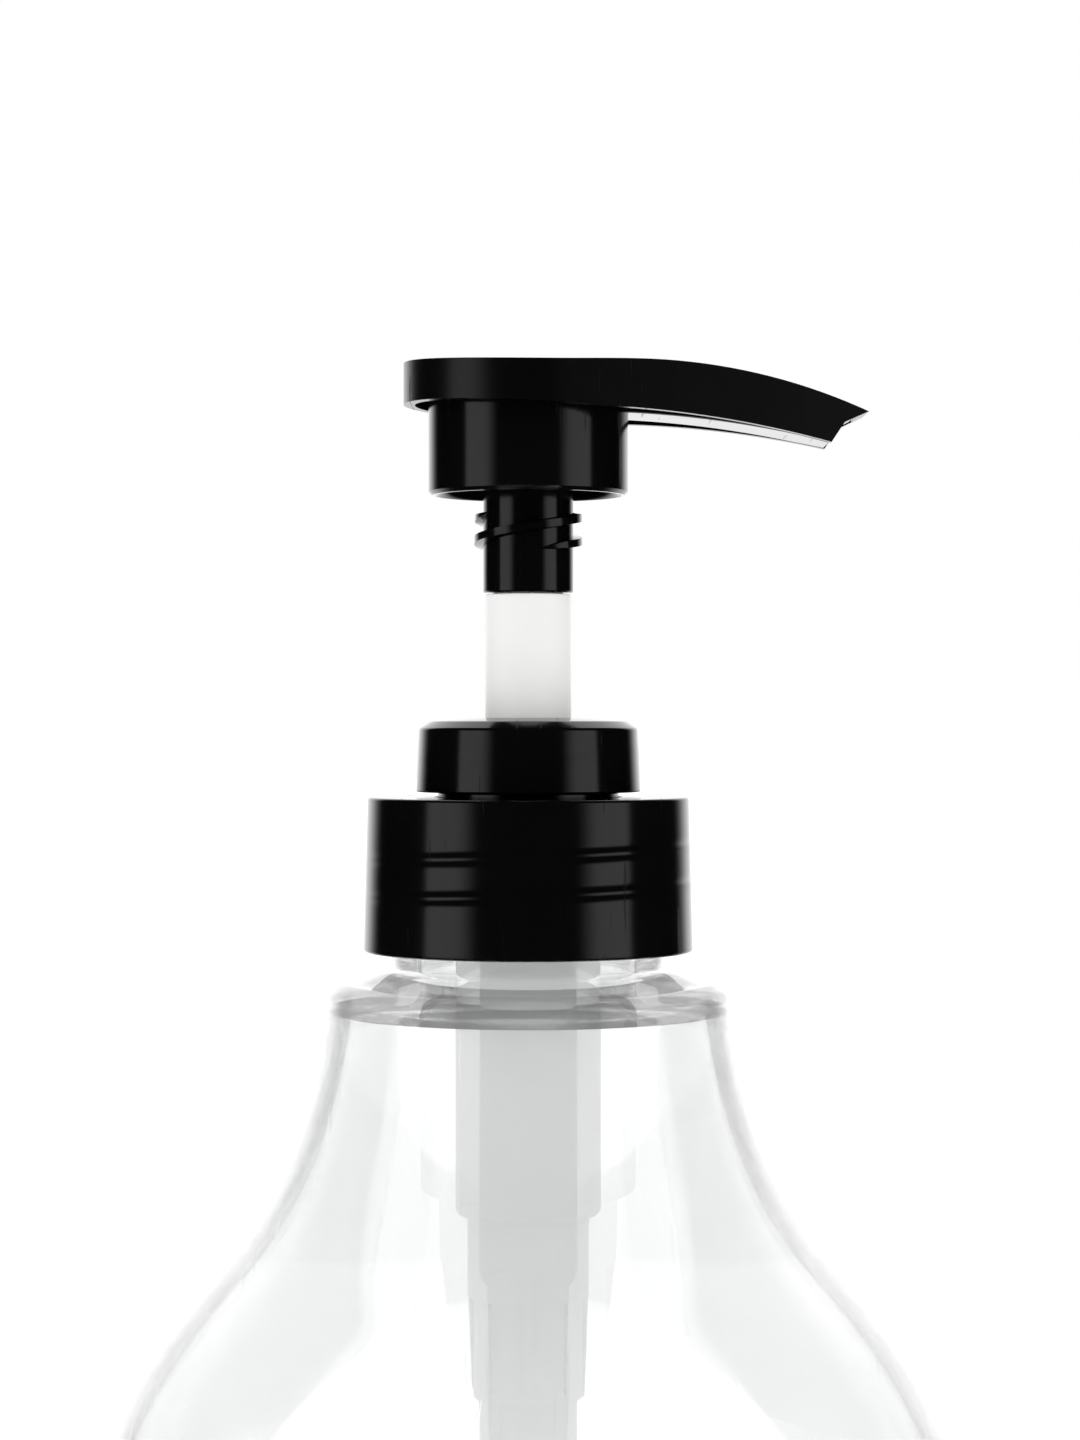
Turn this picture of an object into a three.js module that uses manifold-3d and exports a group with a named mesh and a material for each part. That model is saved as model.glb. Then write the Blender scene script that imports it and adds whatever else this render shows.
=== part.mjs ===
// Pump dispenser: a half-gallon glass jug with a lock-down piston pump.
// Millimetres, +Z up, origin at the centre of the base, spout towards +X.

import * as THREE from 'three';
import { mergeVertices } from 'three/addons/utils/BufferGeometryUtils.js';
import Module from 'manifold-3d';

// ---- bottle -------------------------------------------------------------
const BOTTLE_HEIGHT = 256.8;
const BODY_RADIUS = 59.6;
const GLASS_WALL = 3.2;
const BASE_THICKNESS = 4.5;
const BASE_CORNER = 8;
const PUSH_UP = 3;
const BEARING_WIDTH = 4.1;
const SHOULDER_HEIGHT = 73.6;
const SHOULDER_BELOW_LEDGE = 5.4;
const SHOULDER_OVERHANG = 2.1;
const LEDGE_WIDTH = 6.5;
const LEDGE_DROP = 1.3;
const LEDGE_THICKNESS = 4.4;
const NECK_HEIGHT = 18.5;
const NECK_WALL = 3.0;
const NECK_BAND = 18.3;
const NECK_BAND_STEP = 0.8;
const NECK_BAND_HEIGHT = 4.3;

// ---- screw finish shared by the bottle and the closure ------------------
const FINISH_PITCH = 4.233;
const FINISH_TURNS = 1.5;
const FINISH_RIDGE = 1.1;
const FINISH_RIDGE_WIDTH = 2.0;
const FINISH_START_BELOW_LIP = 10.3;
const FINISH_CLEARANCE = 0.4;

// ---- closure, gasket, housing flange and collar stack -------------------
const SEAT_GAP = 0.2;
const GASKET_THICKNESS = 1.0;
const FLANGE_THICKNESS = 1.2;
const CLOSURE_ABOVE_LEDGE = 2.6;
const CLOSURE_WALL = 3.05;
const CLOSURE_DRAFT = 0.55;
const CLOSURE_PANEL = 1.9;
const CLOSURE_EDGE = 0.4;
const GROOVE_CLEARANCE = 0.3;
const COLLAR_LIFT = 0.7;
const COLLAR_HEIGHT = 9.9;
const COLLAR_LIP = 2.95;
const COLLAR_DRAFT = 0.4;
const COLLAR_CROWN = 0.45;
const COLLAR_CHAMFER_WIDTH = 1.5;
const COLLAR_CHAMFER_DROP = 1.0;
const COLLAR_FLOOR = 1.7;
const COLLAR_ROOF = 2.2;
const SLEEVE_LENGTH = 9.6;
const SLEEVE_CLEARANCE = 0.2;
const SLEEVE_STEP = 0.95;
const CORING_WIDTH = 1.4;

// ---- lock thread between the head's neck and the collar -----------------
const STROKE = 22.0;
const LOCK_DROP = 7.43;
const LOCK_STARTS = 2;
const LOCK_LEAD = 6.3;
const LOCK_RIDGE = 1.5;
const LOCK_COLLAR_RIDGE = 0.96;
const LOCK_DEPTH = 1.2;
const LOCK_CLEARANCE = 0.25;
const LOCK_ZONE = 6.5;
const LOCK_ZONE_BELOW_SKIRT = 1.6;
const LOCK_START_ANGLE = -75 * Math.PI / 180;
const LOCKED_GAP = 0.32;

// ---- pump head ----------------------------------------------------------
const SKIRT_RADIUS = 13.4;
const SKIRT_WALL = 1.6;
const SKIRT_HEIGHT = 13.95;
const DECK_THICKNESS = 1.6;
const NECK_LENGTH = 13.05;
const NECK_OVER_STEM = 0.3;
const SPIGOT_STEP = 1.15;
const SPIGOT_LENGTH = 9.9;
const FIT_CLEARANCE = 0.15;
const RISER_BORE = 3.0;
const HEAD_OVERHANG = 3.3;
const HEAD_REACH = 45.2;
const TIP_HALF_WIDTH = 4.9;
const SADDLE_DIP_X = 1;
const SADDLE_ABOVE_DECK = 2.77;
const SADDLE_BACK_RISE = 0.95;
const SADDLE_CREST_OFFSET = 1.6;
const SADDLE_CREST_RISE = 0.28;
const TOP_DROP = 6.13;
const RIM_BELOW_DECK = 2.65;
const RIM_SLOPE = 0.05;
const RIM_DROP = 3.69;
const COVER_WALL = 1.5;
const COVER_TOP = 1.3;
const TIP_CUT = [[0, 0], [3.3, 1.5], [4.9, 3.9], [6.9, 6.9]];
const TIP_CUT_INSET = 0.3;
const SPOUT_HALF_WIDTH = 5.8;
const SPOUT_CHAMFER = 0.5;
const SPOUT_SIDE_GAP = 0.3;
const SPOUT_TOP_GAP = 0.4;
const SPOUT_WALL = 0.9;

// ---- stem, rod, piston --------------------------------------------------
const STEM_RADIUS = 5.75;
const STEM_WALL = 1.85;
const STEM_FOOT_GAP = 0.3;
const STEM_FOOT_CLEARANCE = 1.25;
const STEM_FOOT_HEIGHT = 2.0;
const ROD_RADIUS = 3.0;
const ROD_BORE = 1.9;
const ROD_INSERTION = 14.5;
const ROD_HEAD_RADIUS = 6.3;
const ROD_HEAD_THICKNESS = 1.5;
const PORT_RADIUS = 0.7;
const PORT_COUNT = 4;
const PISTON_HEIGHT = 8.2;
const PISTON_SLIP = 1.2;
const PISTON_GAP = 0.1;
const PISTON_HUB = 5.4;
const PISTON_SKIRT = 1.55;

// ---- housing, valve, spring, dip tube -----------------------------------
const BARREL_RADIUS = 9.75;
const BARREL_WALL = 1.2;
const BARREL_FLOOR = 1.2;
const BARREL_FLOOR_CLEARANCE = 0.67;
const CHAMBER_RADIUS = 8.15;
const CHAMBER_BORE = 6.5;
const CHAMBER_LENGTH = 11.4;
const SOCKET_WALL = 0.6;
const SOCKET_LENGTH = 12.7;
const RIB_HEIGHT = 0.7;
const RIB_THICKNESS = 1.0;
const RIB_COUNT = 8;
const RIB_SHORTER_BY = 1.2;
const CAGE_ABOVE_SOCKET = 2.3;
const BALL_CHAMBER_RADIUS = 4.4;
const BALL_CHAMBER_DEPTH = 4.0;
const SEAT_CONE_DEPTH = 2.4;
const SEAT_HOLE = 2.4;
const SEAT_THICKNESS = 1.2;
const BALL_RADIUS = 3.2;
const BALL_GAP = 0.05;
const CAGE_FLANGE = 1.1;
const CAGE_HEIGHT = 3.5;
const CAGE_CROWN = 0.8;
const CAGE_SLOT = 3.0;
const SPRING_RADIUS = 5.6;
const SPRING_WIRE = 0.9;
const SPRING_COILS = 9.5;
const SPRING_END_PITCH = 1.0;
const TUBE_RADIUS = 6.55;
const TUBE_WALL = 1.25;
const TUBE_ABOVE_FLOOR = 2.0;
const TUBE_CUT = 5;

// ---- facets round a full circle, by how large the piece is --------------
const WIDE = 40;
const MIDDLE = 32;
const SLIM = 24;

// ---- radii that follow from the pieces they mate with -------------------
const BEARING_OUTER = BODY_RADIUS - BASE_CORNER;
const BEARING_INNER = BEARING_OUTER - BEARING_WIDTH;
const NECK_ROOT = NECK_BAND - NECK_BAND_STEP;
const NECK_BORE = NECK_ROOT - NECK_WALL;
const LEDGE_RADIUS = NECK_BAND + LEDGE_WIDTH;
const SHOULDER_TOP_RADIUS = LEDGE_RADIUS + SHOULDER_OVERHANG;
const CLOSURE_ROOT = NECK_BAND + 0.3 + FINISH_CLEARANCE;
const CLOSURE_BOTTOM_RADIUS = CLOSURE_ROOT + CLOSURE_WALL;
const CLOSURE_TOP_RADIUS = CLOSURE_BOTTOM_RADIUS - CLOSURE_DRAFT;
const FLANGE_RADIUS = NECK_ROOT - SEAT_GAP;
const BARREL_BORE = BARREL_RADIUS - BARREL_WALL;
const SLEEVE_RADIUS = BARREL_BORE - SLEEVE_CLEARANCE;
const CORING_INNER = SLEEVE_RADIUS + SLEEVE_STEP;
const CORING_OUTER = CORING_INNER + CORING_WIDTH;
const GROOVE_RADIUS = CORING_OUTER + CORING_WIDTH;
const COLLAR_BOTTOM_RADIUS = GROOVE_RADIUS + COLLAR_LIP;
const COLLAR_TOP_RADIUS = COLLAR_BOTTOM_RADIUS - COLLAR_DRAFT;
const GUIDE_RADIUS = STEM_RADIUS + SLEEVE_CLEARANCE;
const NECK_RADIUS = STEM_RADIUS + NECK_OVER_STEM;
const LOCK_CREST = NECK_RADIUS + LOCK_DEPTH;
const COLLAR_BORE = NECK_RADIUS + LOCK_CLEARANCE + 0.1;
const COLLAR_THREAD_ROOT = LOCK_CREST + LOCK_CLEARANCE;
const SPIGOT_RADIUS = STEM_RADIUS - SPIGOT_STEP;
const NECK_INNER = SPIGOT_RADIUS + FIT_CLEARANCE;
const STEM_BORE = STEM_RADIUS - STEM_WALL;
const STEM_FOOT_RADIUS = BARREL_BORE - STEM_FOOT_CLEARANCE;
const HEAD_BACK_RADIUS = SKIRT_RADIUS + HEAD_OVERHANG;
const SOCKET_BORE = TUBE_RADIUS + SEAT_GAP;
const SOCKET_RADIUS = SOCKET_BORE + SOCKET_WALL;
const RIB_RADIUS = SOCKET_RADIUS + RIB_HEIGHT;
const TUBE_BORE = TUBE_RADIUS - TUBE_WALL;

// ---- heights of the bottle ----------------------------------------------
const FLOOR_Z = PUSH_UP + BASE_THICKNESS;
const LEDGE_Z = BOTTLE_HEIGHT - NECK_HEIGHT;
const NECK_BAND_TOP = LEDGE_Z + NECK_BAND_HEIGHT;
const SHOULDER_TOP = LEDGE_Z - SHOULDER_BELOW_LEDGE;
const SHOULDER_BOTTOM = SHOULDER_TOP - SHOULDER_HEIGHT;
const FINISH_START_Z = BOTTLE_HEIGHT - FINISH_START_BELOW_LIP;

// ---- heights of the pump, up from the bottle's lip ----------------------
const CLOSURE_BOTTOM = LEDGE_Z + CLOSURE_ABOVE_LEDGE;
const GASKET_BOTTOM = BOTTLE_HEIGHT + SEAT_GAP;
const GASKET_TOP = GASKET_BOTTOM + GASKET_THICKNESS;
const FLANGE_BOTTOM = GASKET_TOP + SEAT_GAP;
const FLANGE_TOP = FLANGE_BOTTOM + FLANGE_THICKNESS;
const PANEL_BOTTOM = FLANGE_TOP + SEAT_GAP;
const PANEL_TOP = PANEL_BOTTOM + CLOSURE_PANEL;
const COLLAR_BOTTOM = PANEL_TOP + COLLAR_LIFT;
const COLLAR_TOP = COLLAR_BOTTOM + COLLAR_HEIGHT;
const SKIRT_BOTTOM = COLLAR_TOP + LOCKED_GAP + LOCK_DROP + STROKE;
const SKIRT_TOP = SKIRT_BOTTOM + SKIRT_HEIGHT;
const SADDLE_Z = SKIRT_TOP + SADDLE_ABOVE_DECK;
const HEAD_TOP = SADDLE_Z + SADDLE_BACK_RISE;
const NECK_BOTTOM = SKIRT_BOTTOM - NECK_LENGTH;
const LOCK_TOP = SKIRT_BOTTOM - LOCK_ZONE_BELOW_SKIRT;
const LOCK_BOTTOM = LOCK_TOP - LOCK_ZONE;

// ---- heights of the pump, down from the collar's sleeve -----------------
const SLEEVE_BOTTOM = FLANGE_TOP - SLEEVE_LENGTH;
const STEM_BOTTOM = SLEEVE_BOTTOM - STEM_FOOT_GAP - STEM_FOOT_HEIGHT;
const ROD_TOP = STEM_BOTTOM + ROD_INSERTION;
const ROD_HEAD_TOP = STEM_BOTTOM - PISTON_GAP - PISTON_SLIP - PISTON_HEIGHT - PISTON_GAP;
const ROD_HEAD_BOTTOM = ROD_HEAD_TOP - ROD_HEAD_THICKNESS;
const BARREL_BOTTOM =
  ROD_HEAD_BOTTOM - STROKE - LOCK_DROP - BARREL_FLOOR_CLEARANCE - BARREL_FLOOR;
const CHAMBER_BOTTOM = BARREL_BOTTOM - CHAMBER_LENGTH;
const SOCKET_BOTTOM = CHAMBER_BOTTOM - SOCKET_LENGTH;
const CAGE_Z = CHAMBER_BOTTOM + CAGE_ABOVE_SOCKET;
const SEAT_CONE_TOP = CAGE_Z - BALL_CHAMBER_DEPTH;
const SEAT_CONE_BOTTOM = SEAT_CONE_TOP - SEAT_CONE_DEPTH;
const TUBE_TOP = SEAT_CONE_BOTTOM - SEAT_THICKNESS - SEAT_GAP;
const TUBE_BOTTOM = FLOOR_Z + TUBE_ABOVE_FLOOR;

// ---- curves of the head -------------------------------------------------
const SADDLE_CREST_X = SKIRT_RADIUS + SADDLE_CREST_OFFSET;
const TOP_ARC = arcRadius(HEAD_REACH - SADDLE_CREST_X, TOP_DROP);
const RIM_ARC = arcRadius(HEAD_REACH - SKIRT_RADIUS, RIM_DROP);

// ---- materials ----------------------------------------------------------
const finish = (color, roughness, metalness = 0, extra = {}) =>
  new THREE.MeshStandardMaterial({ color, roughness, metalness, ...extra });

const GLASS = finish(0xe6eceb, 0.05, 0, { transparent: true, opacity: 0.35 });
const BLACK = finish(0x0b0b0c, 0.22);
const WHITE = finish(0xeceae6, 0.45);
const NATURAL = finish(0xdfe1df, 0.4);
const FOAM = finish(0xd8d8d4, 0.8);
const STEEL = finish(0xb9bcc0, 0.3, 1);

// ---- solid helpers ------------------------------------------------------
const wasm = await Module();
wasm.setup();

// Closed three.js geometry to a manifold solid.
function solid(geometry) {
  const bare = geometry.clone();
  bare.deleteAttribute('normal');
  bare.deleteAttribute('uv');
  const merged = mergeVertices(bare, 1e-4);
  const vertProperties = new Float32Array(merged.attributes.position.array);
  const triVerts = new Uint32Array(merged.index.array);
  return new wasm.Manifold(new wasm.Mesh({ numProp: 3, vertProperties, triVerts }));
}

// Manifold solid to a named mesh.
function part(name, body, material) {
  const mesh = body.getMesh();
  const geometry = new THREE.BufferGeometry();
  geometry.setAttribute('position', new THREE.BufferAttribute(mesh.vertProperties, 3));
  geometry.setIndex(new THREE.BufferAttribute(mesh.triVerts, 1));
  geometry.computeVertexNormals();
  const node = new THREE.Mesh(geometry, material);
  node.name = name;
  return node;
}

// Solid of revolution about Z from [radius, height] pairs running up the outside.
function turned(profile, segments) {
  const points = profile.map(([r, z]) => new THREE.Vector2(r, z));
  const geometry = new THREE.LatheGeometry(points, segments);
  geometry.rotateX(Math.PI / 2);
  return outward(geometry);
}

// The same solid with its faces pointing out.
function outward(geometry) {
  const body = solid(geometry);
  if (body.volume() > 0) return body;
  const flipped = geometry.clone();
  const index = flipped.index.array;
  for (let i = 0; i < index.length; i += 3) {
    [index[i], index[i + 1]] = [index[i + 1], index[i]];
  }
  return solid(flipped);
}

// Ring of revolution: the profile closes on itself.
function ring(profile, segments) {
  return turned([...profile, profile[0]], segments);
}

// Straight tube or washer.
function washer(inner, outer, bottom, top, segments) {
  return ring([[inner, bottom], [outer, bottom], [outer, top], [inner, top]], segments);
}

function cylinder(radius, bottom, top, segments) {
  return turned([[0, bottom], [radius, bottom], [radius, top], [0, top]], segments);
}

// Skin through a list of closed loops of equal length, capped at both ends.
function loft(loops) {
  const count = loops[0].length;
  const positions = loops.flat(2);
  const index = [];
  for (let i = 0; i + 1 < loops.length; i += 1) {
    for (let j = 0; j < count; j += 1) {
      const a = i * count + j;
      const b = i * count + (j + 1) % count;
      index.push(a, b, a + count, b, b + count, a + count);
    }
  }
  const last = (loops.length - 1) * count;
  for (let j = 1; j + 1 < count; j += 1) {
    index.push(0, j + 1, j, last, last + j, last + j + 1);
  }
  const geometry = new THREE.BufferGeometry();
  geometry.setAttribute('position', new THREE.Float32BufferAttribute(positions, 3));
  geometry.setIndex(index);
  return outward(geometry);
}

// Loop of [radius, height] corners placed at an angle about Z.
function atAngle(corners, angle) {
  return corners.map(([r, z]) => [r * Math.cos(angle), r * Math.sin(angle), z]);
}

// Right-hand thread ridge whose centre line starts at startZ and startAngle.
// It stands from root to crest and fades into the root at both ends.
function threadRidge({ root, crest, width, pitch, turns, startZ, startAngle, perTurn = 16 }) {
  const embed = Math.sign(root - crest) * 0.25;
  const steps = Math.round(turns * perTurn);
  const loops = [];
  for (let i = 0; i <= steps; i += 1) {
    const rise = i / perTurn;
    const fade = Math.min(1, Math.min(i, steps - i) / 2 + 0.05);
    const top = root + (crest - root) * fade;
    const z = startZ + pitch * rise;
    const corners = [
      [root + embed, z - width / 2], [root, z - width / 2], [top, z - width / 3],
      [top, z + width / 3], [root, z + width / 2], [root + embed, z + width / 2],
    ];
    loops.push(atAngle(corners, startAngle + rise * 2 * Math.PI));
  }
  return loft(loops);
}

// Points of a cubic curve between two [radius, height] ends.
function cubic(start, pullStart, pullEnd, end, steps) {
  const curve = new THREE.CubicBezierCurve(
    new THREE.Vector2(...start), new THREE.Vector2(...pullStart),
    new THREE.Vector2(...pullEnd), new THREE.Vector2(...end));
  return curve.getPoints(steps).map((p) => [p.x, p.y]);
}

// Quarter arc from one angle to another about a centre.
function arc(centre, radius, from, to, steps) {
  const points = [];
  for (let i = 0; i <= steps; i += 1) {
    const angle = from + (to - from) * i / steps;
    points.push([centre[0] + radius * Math.cos(angle), centre[1] + radius * Math.sin(angle)]);
  }
  return points;
}

// ---- bottle -------------------------------------------------------------

// Ogee shoulder from the body up to the neck ledge, moved in by an inset.
function shoulder(inset) {
  const width = BODY_RADIUS - SHOULDER_TOP_RADIUS;
  const height = SHOULDER_TOP - SHOULDER_BOTTOM;
  const at = (across, down) =>
    [SHOULDER_TOP_RADIUS + width * across, SHOULDER_TOP - height * down];
  const lower = cubic(at(1, 1), at(1, 0.78), at(0.672, 0.584), at(0.446, 0.473), 5);
  const upper = cubic(at(0.446, 0.473), at(0.159, 0.332), at(0.055, 0.174), at(0, 0), 4);
  const points = [...lower, ...upper.slice(1)];
  return points.map((point, i) => {
    const before = points[Math.max(0, i - 1)];
    const after = points[Math.min(points.length - 1, i + 1)];
    const run = [after[0] - before[0], after[1] - before[1]];
    const length = Math.hypot(...run);
    return [point[0] - inset * run[1] / length, point[1] + inset * run[0] / length];
  });
}

function makeBottle() {
  const outside = [
    [0, PUSH_UP], [BEARING_INNER * 0.8, PUSH_UP * 0.6], [BEARING_INNER, 0], [BEARING_OUTER, 0],
    ...arc([BODY_RADIUS - BASE_CORNER, BASE_CORNER], BASE_CORNER, -Math.PI / 2 + 0.3, 0, 3),
    ...shoulder(0),
    [SHOULDER_TOP_RADIUS - 0.3, LEDGE_Z - LEDGE_DROP - 2.7],
    [SHOULDER_TOP_RADIUS - 0.9, LEDGE_Z - LEDGE_DROP - 1.3],
    [LEDGE_RADIUS, LEDGE_Z - LEDGE_DROP],
    [NECK_BAND, LEDGE_Z], [NECK_BAND, NECK_BAND_TOP],
    [NECK_ROOT, NECK_BAND_TOP + NECK_BAND_STEP],
    [NECK_ROOT, BOTTLE_HEIGHT - 0.8], [NECK_ROOT - 0.6, BOTTLE_HEIGHT],
  ];
  const inner = BODY_RADIUS - GLASS_WALL;
  const inside = [
    [NECK_BORE + 0.6, BOTTLE_HEIGHT], [NECK_BORE, BOTTLE_HEIGHT - 0.6],
    [NECK_BORE, LEDGE_Z - LEDGE_THICKNESS + 1.4],
    [NECK_BORE + 1.6, LEDGE_Z - LEDGE_THICKNESS],
    ...shoulder(GLASS_WALL).reverse(),
    ...arc([inner - BASE_CORNER, FLOOR_Z + BASE_CORNER], BASE_CORNER, 0, -Math.PI / 2 + 0.3, 2),
    [0, FLOOR_Z],
  ];
  const finishThread = threadRidge({
    root: NECK_ROOT, crest: NECK_ROOT + FINISH_RIDGE, width: FINISH_RIDGE_WIDTH,
    pitch: FINISH_PITCH, turns: FINISH_TURNS, startZ: FINISH_START_Z, startAngle: 0,
  });
  return part('bottle', turned([...outside, ...inside], WIDE).add(finishThread), GLASS);
}

// ---- closure, gasket and collar -----------------------------------------

function makeClosure() {
  const shell = ring([
    [CLOSURE_ROOT, CLOSURE_BOTTOM], [CLOSURE_BOTTOM_RADIUS, CLOSURE_BOTTOM],
    [CLOSURE_TOP_RADIUS, PANEL_TOP - CLOSURE_EDGE],
    [CLOSURE_TOP_RADIUS - CLOSURE_EDGE, PANEL_TOP],
    [GROOVE_RADIUS + GROOVE_CLEARANCE, PANEL_TOP],
    [GROOVE_RADIUS + GROOVE_CLEARANCE, PANEL_BOTTOM],
    [CLOSURE_ROOT, PANEL_BOTTOM],
  ], WIDE);
  const thread = threadRidge({
    root: CLOSURE_ROOT, crest: CLOSURE_ROOT - FINISH_RIDGE, width: FINISH_RIDGE_WIDTH,
    pitch: FINISH_PITCH, turns: FINISH_TURNS, startZ: FINISH_START_Z - FINISH_PITCH / 2,
    startAngle: 0,
  });
  return part('closure', shell.add(thread), BLACK);
}

function makeGasket() {
  const inner = BARREL_RADIUS + SEAT_GAP * 2;
  return part('gasket', washer(inner, FLANGE_RADIUS, GASKET_BOTTOM, GASKET_TOP, MIDDLE), FOAM);
}

// Ridges of the lock thread: one per start, evenly spaced about Z.
function lockRidges({ root, crest, width, bottom, height, firstAngle }) {
  const ridges = [];
  for (let i = 0; i < LOCK_STARTS; i += 1) {
    ridges.push(threadRidge({
      root, crest, width, pitch: LOCK_LEAD, turns: height / LOCK_LEAD,
      startZ: bottom, startAngle: firstAngle + i * 2 * Math.PI / LOCK_STARTS,
    }));
  }
  return ridges;
}

// Angle at which a lock ridge passes a given height when the head is pressed
// down by one stroke and unturned.
function lockPhase(height) {
  const pressedBottom = LOCK_BOTTOM + LOCK_RIDGE / 2 - STROKE;
  return LOCK_START_ANGLE + 2 * Math.PI * (height - pressedBottom) / LOCK_LEAD;
}

function makeCollar() {
  const face = PANEL_BOTTOM;
  const threadFloor = COLLAR_BOTTOM + COLLAR_FLOOR;
  const body = ring([
    [GUIDE_RADIUS, SLEEVE_BOTTOM], [SLEEVE_RADIUS, SLEEVE_BOTTOM], [SLEEVE_RADIUS, face],
    [CORING_INNER, face], [CORING_INNER, COLLAR_TOP - COLLAR_ROOF],
    [CORING_OUTER, COLLAR_TOP - COLLAR_ROOF], [CORING_OUTER, face],
    [GROOVE_RADIUS, face], [GROOVE_RADIUS, COLLAR_BOTTOM],
    [COLLAR_BOTTOM_RADIUS, COLLAR_BOTTOM],
    [COLLAR_TOP_RADIUS, COLLAR_TOP - COLLAR_CROWN - COLLAR_CHAMFER_DROP],
    [COLLAR_TOP_RADIUS - COLLAR_CHAMFER_WIDTH, COLLAR_TOP - COLLAR_CROWN],
    [COLLAR_THREAD_ROOT, COLLAR_TOP], [COLLAR_THREAD_ROOT, threadFloor],
    [COLLAR_BORE, threadFloor], [COLLAR_BORE, FLANGE_TOP - 1.2],
    [GUIDE_RADIUS, FLANGE_TOP - 1.8],
  ], MIDDLE);
  const ridgeBottom = threadFloor + LOCK_COLLAR_RIDGE;
  const halfSpacing = LOCK_LEAD / LOCK_STARTS / 2;
  const ridges = lockRidges({
    root: COLLAR_THREAD_ROOT, crest: COLLAR_BORE, width: LOCK_COLLAR_RIDGE,
    bottom: ridgeBottom, height: COLLAR_TOP - 0.7 - ridgeBottom,
    firstAngle: lockPhase(ridgeBottom + halfSpacing),
  });
  return part('collar', ridges.reduce((all, ridge) => all.add(ridge), body), BLACK);
}

// ---- pump head ----------------------------------------------------------

// Plan outline of the head: a round back drawn out to a narrow tip.
function planShape(inset) {
  const radius = HEAD_BACK_RADIUS - inset;
  const halfWidth = TIP_HALF_WIDTH - inset;
  const tangent = Math.atan2(halfWidth, HEAD_REACH)
    + Math.acos(radius / Math.hypot(HEAD_REACH, halfWidth));
  const shape = new THREE.Shape();
  shape.moveTo(HEAD_REACH + 4, halfWidth);
  shape.lineTo(HEAD_REACH, halfWidth);
  shape.absarc(0, 0, radius, tangent, 2 * Math.PI - tangent, false);
  shape.lineTo(HEAD_REACH, -halfWidth);
  shape.lineTo(HEAD_REACH + 4, -halfWidth);
  shape.closePath();
  return shape;
}

// Radius of the arc that starts level and falls by a drop over a run.
function arcRadius(run, drop) {
  return (run ** 2 + drop ** 2) / (2 * drop);
}

// Height of a circular arc that starts level at x0 and falls away from it.
function fallingArc(x, x0, z0, radius) {
  return z0 - radius + Math.sqrt(radius ** 2 - (x - x0) ** 2);
}

// Vertical slice of the head between two height functions of x.
function sideShape(low, high, from, to, steps) {
  const xs = Array.from({ length: steps + 1 }, (_, i) => from + (to - from) * i / steps);
  const bottom = xs.map((x) => new THREE.Vector2(x, low(x)));
  const top = xs.map((x) => new THREE.Vector2(x, high(x))).reverse();
  return new THREE.Shape([...bottom, ...top]);
}

function planPrism(inset, bottom, top) {
  const geometry = new THREE.ExtrudeGeometry(planShape(inset),
    { depth: top - bottom, bevelEnabled: false, curveSegments: 24 });
  geometry.translate(0, 0, bottom);
  return solid(geometry);
}

function sidePrism(shape, halfDepth) {
  const geometry = new THREE.ExtrudeGeometry(shape, { depth: 2 * halfDepth, bevelEnabled: false });
  geometry.rotateX(Math.PI / 2);
  geometry.translate(0, halfDepth, 0);
  return solid(geometry);
}

// Height of the walls' lower rim: a gentle slope that falls away past the skirt.
function rimHeight(x) {
  const z = SKIRT_TOP - RIM_BELOW_DECK - RIM_SLOPE * x;
  return fallingArc(Math.max(x, SKIRT_RADIUS), SKIRT_RADIUS, z, RIM_ARC);
}

// Height of the saddle-shaped top: raised at the back, dipped in the middle, then a low crest
// from which it falls to the tip.
function topHeight(x) {
  if (x < SADDLE_DIP_X) {
    const back = (x - SADDLE_DIP_X) / (HEAD_BACK_RADIUS + SADDLE_DIP_X);
    return SADDLE_Z + SADDLE_BACK_RISE * Math.min(1, back ** 2);
  }
  const along = (Math.min(x, SADDLE_CREST_X) - SADDLE_DIP_X) / (SADDLE_CREST_X - SADDLE_DIP_X);
  const z = SADDLE_Z + SADDLE_CREST_RISE * (1 - Math.cos(Math.PI * along)) / 2;
  return fallingArc(Math.max(x, SADDLE_CREST_X), SADDLE_CREST_X, z, TOP_ARC);
}

// Everything beyond the notched cut at the tip, moved back by an inset.
function tipCutter(inset) {
  const beakX = HEAD_REACH - inset;
  const beakZ = topHeight(HEAD_REACH);
  const above = HEAD_TOP + 5;
  const edge = TIP_CUT.map(([back, down]) => new THREE.Vector2(beakX - back, beakZ - down));
  const shape = new THREE.Shape([
    new THREE.Vector2(2 * HEAD_REACH, edge[edge.length - 1].y),
    new THREE.Vector2(2 * HEAD_REACH, above), new THREE.Vector2(beakX, above), ...edge,
  ]);
  return sidePrism(shape, 2 * HEAD_BACK_RADIUS);
}

function makeHeadCover() {
  const back = -HEAD_BACK_RADIUS - 3;
  const reach = HEAD_REACH + 3;
  const depth = HEAD_BACK_RADIUS + 8;
  const above = HEAD_TOP + 5;
  const slab = planPrism(0, SKIRT_BOTTOM, above)
    .intersect(sidePrism(sideShape(rimHeight, topHeight, back, reach, 28), depth))
    .subtract(tipCutter(0));
  const floor = (x) => rimHeight(x) - 5;
  const ceiling = (x) => topHeight(x) - COVER_TOP;
  const hollow = planPrism(COVER_WALL, SKIRT_BOTTOM - 5, above)
    .intersect(sidePrism(sideShape(floor, ceiling, back, reach + 5, 28), depth));
  const locator = washer(SKIRT_RADIUS - 4.4, SKIRT_RADIUS - 3.2, SKIRT_TOP + SEAT_GAP,
    SADDLE_Z - COVER_TOP + 0.5, SLIM).subtract(spoutTube(SPOUT_SIDE_GAP, -6, 20));
  return part('head_cover', slab.subtract(hollow).add(locator), BLACK);
}

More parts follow.
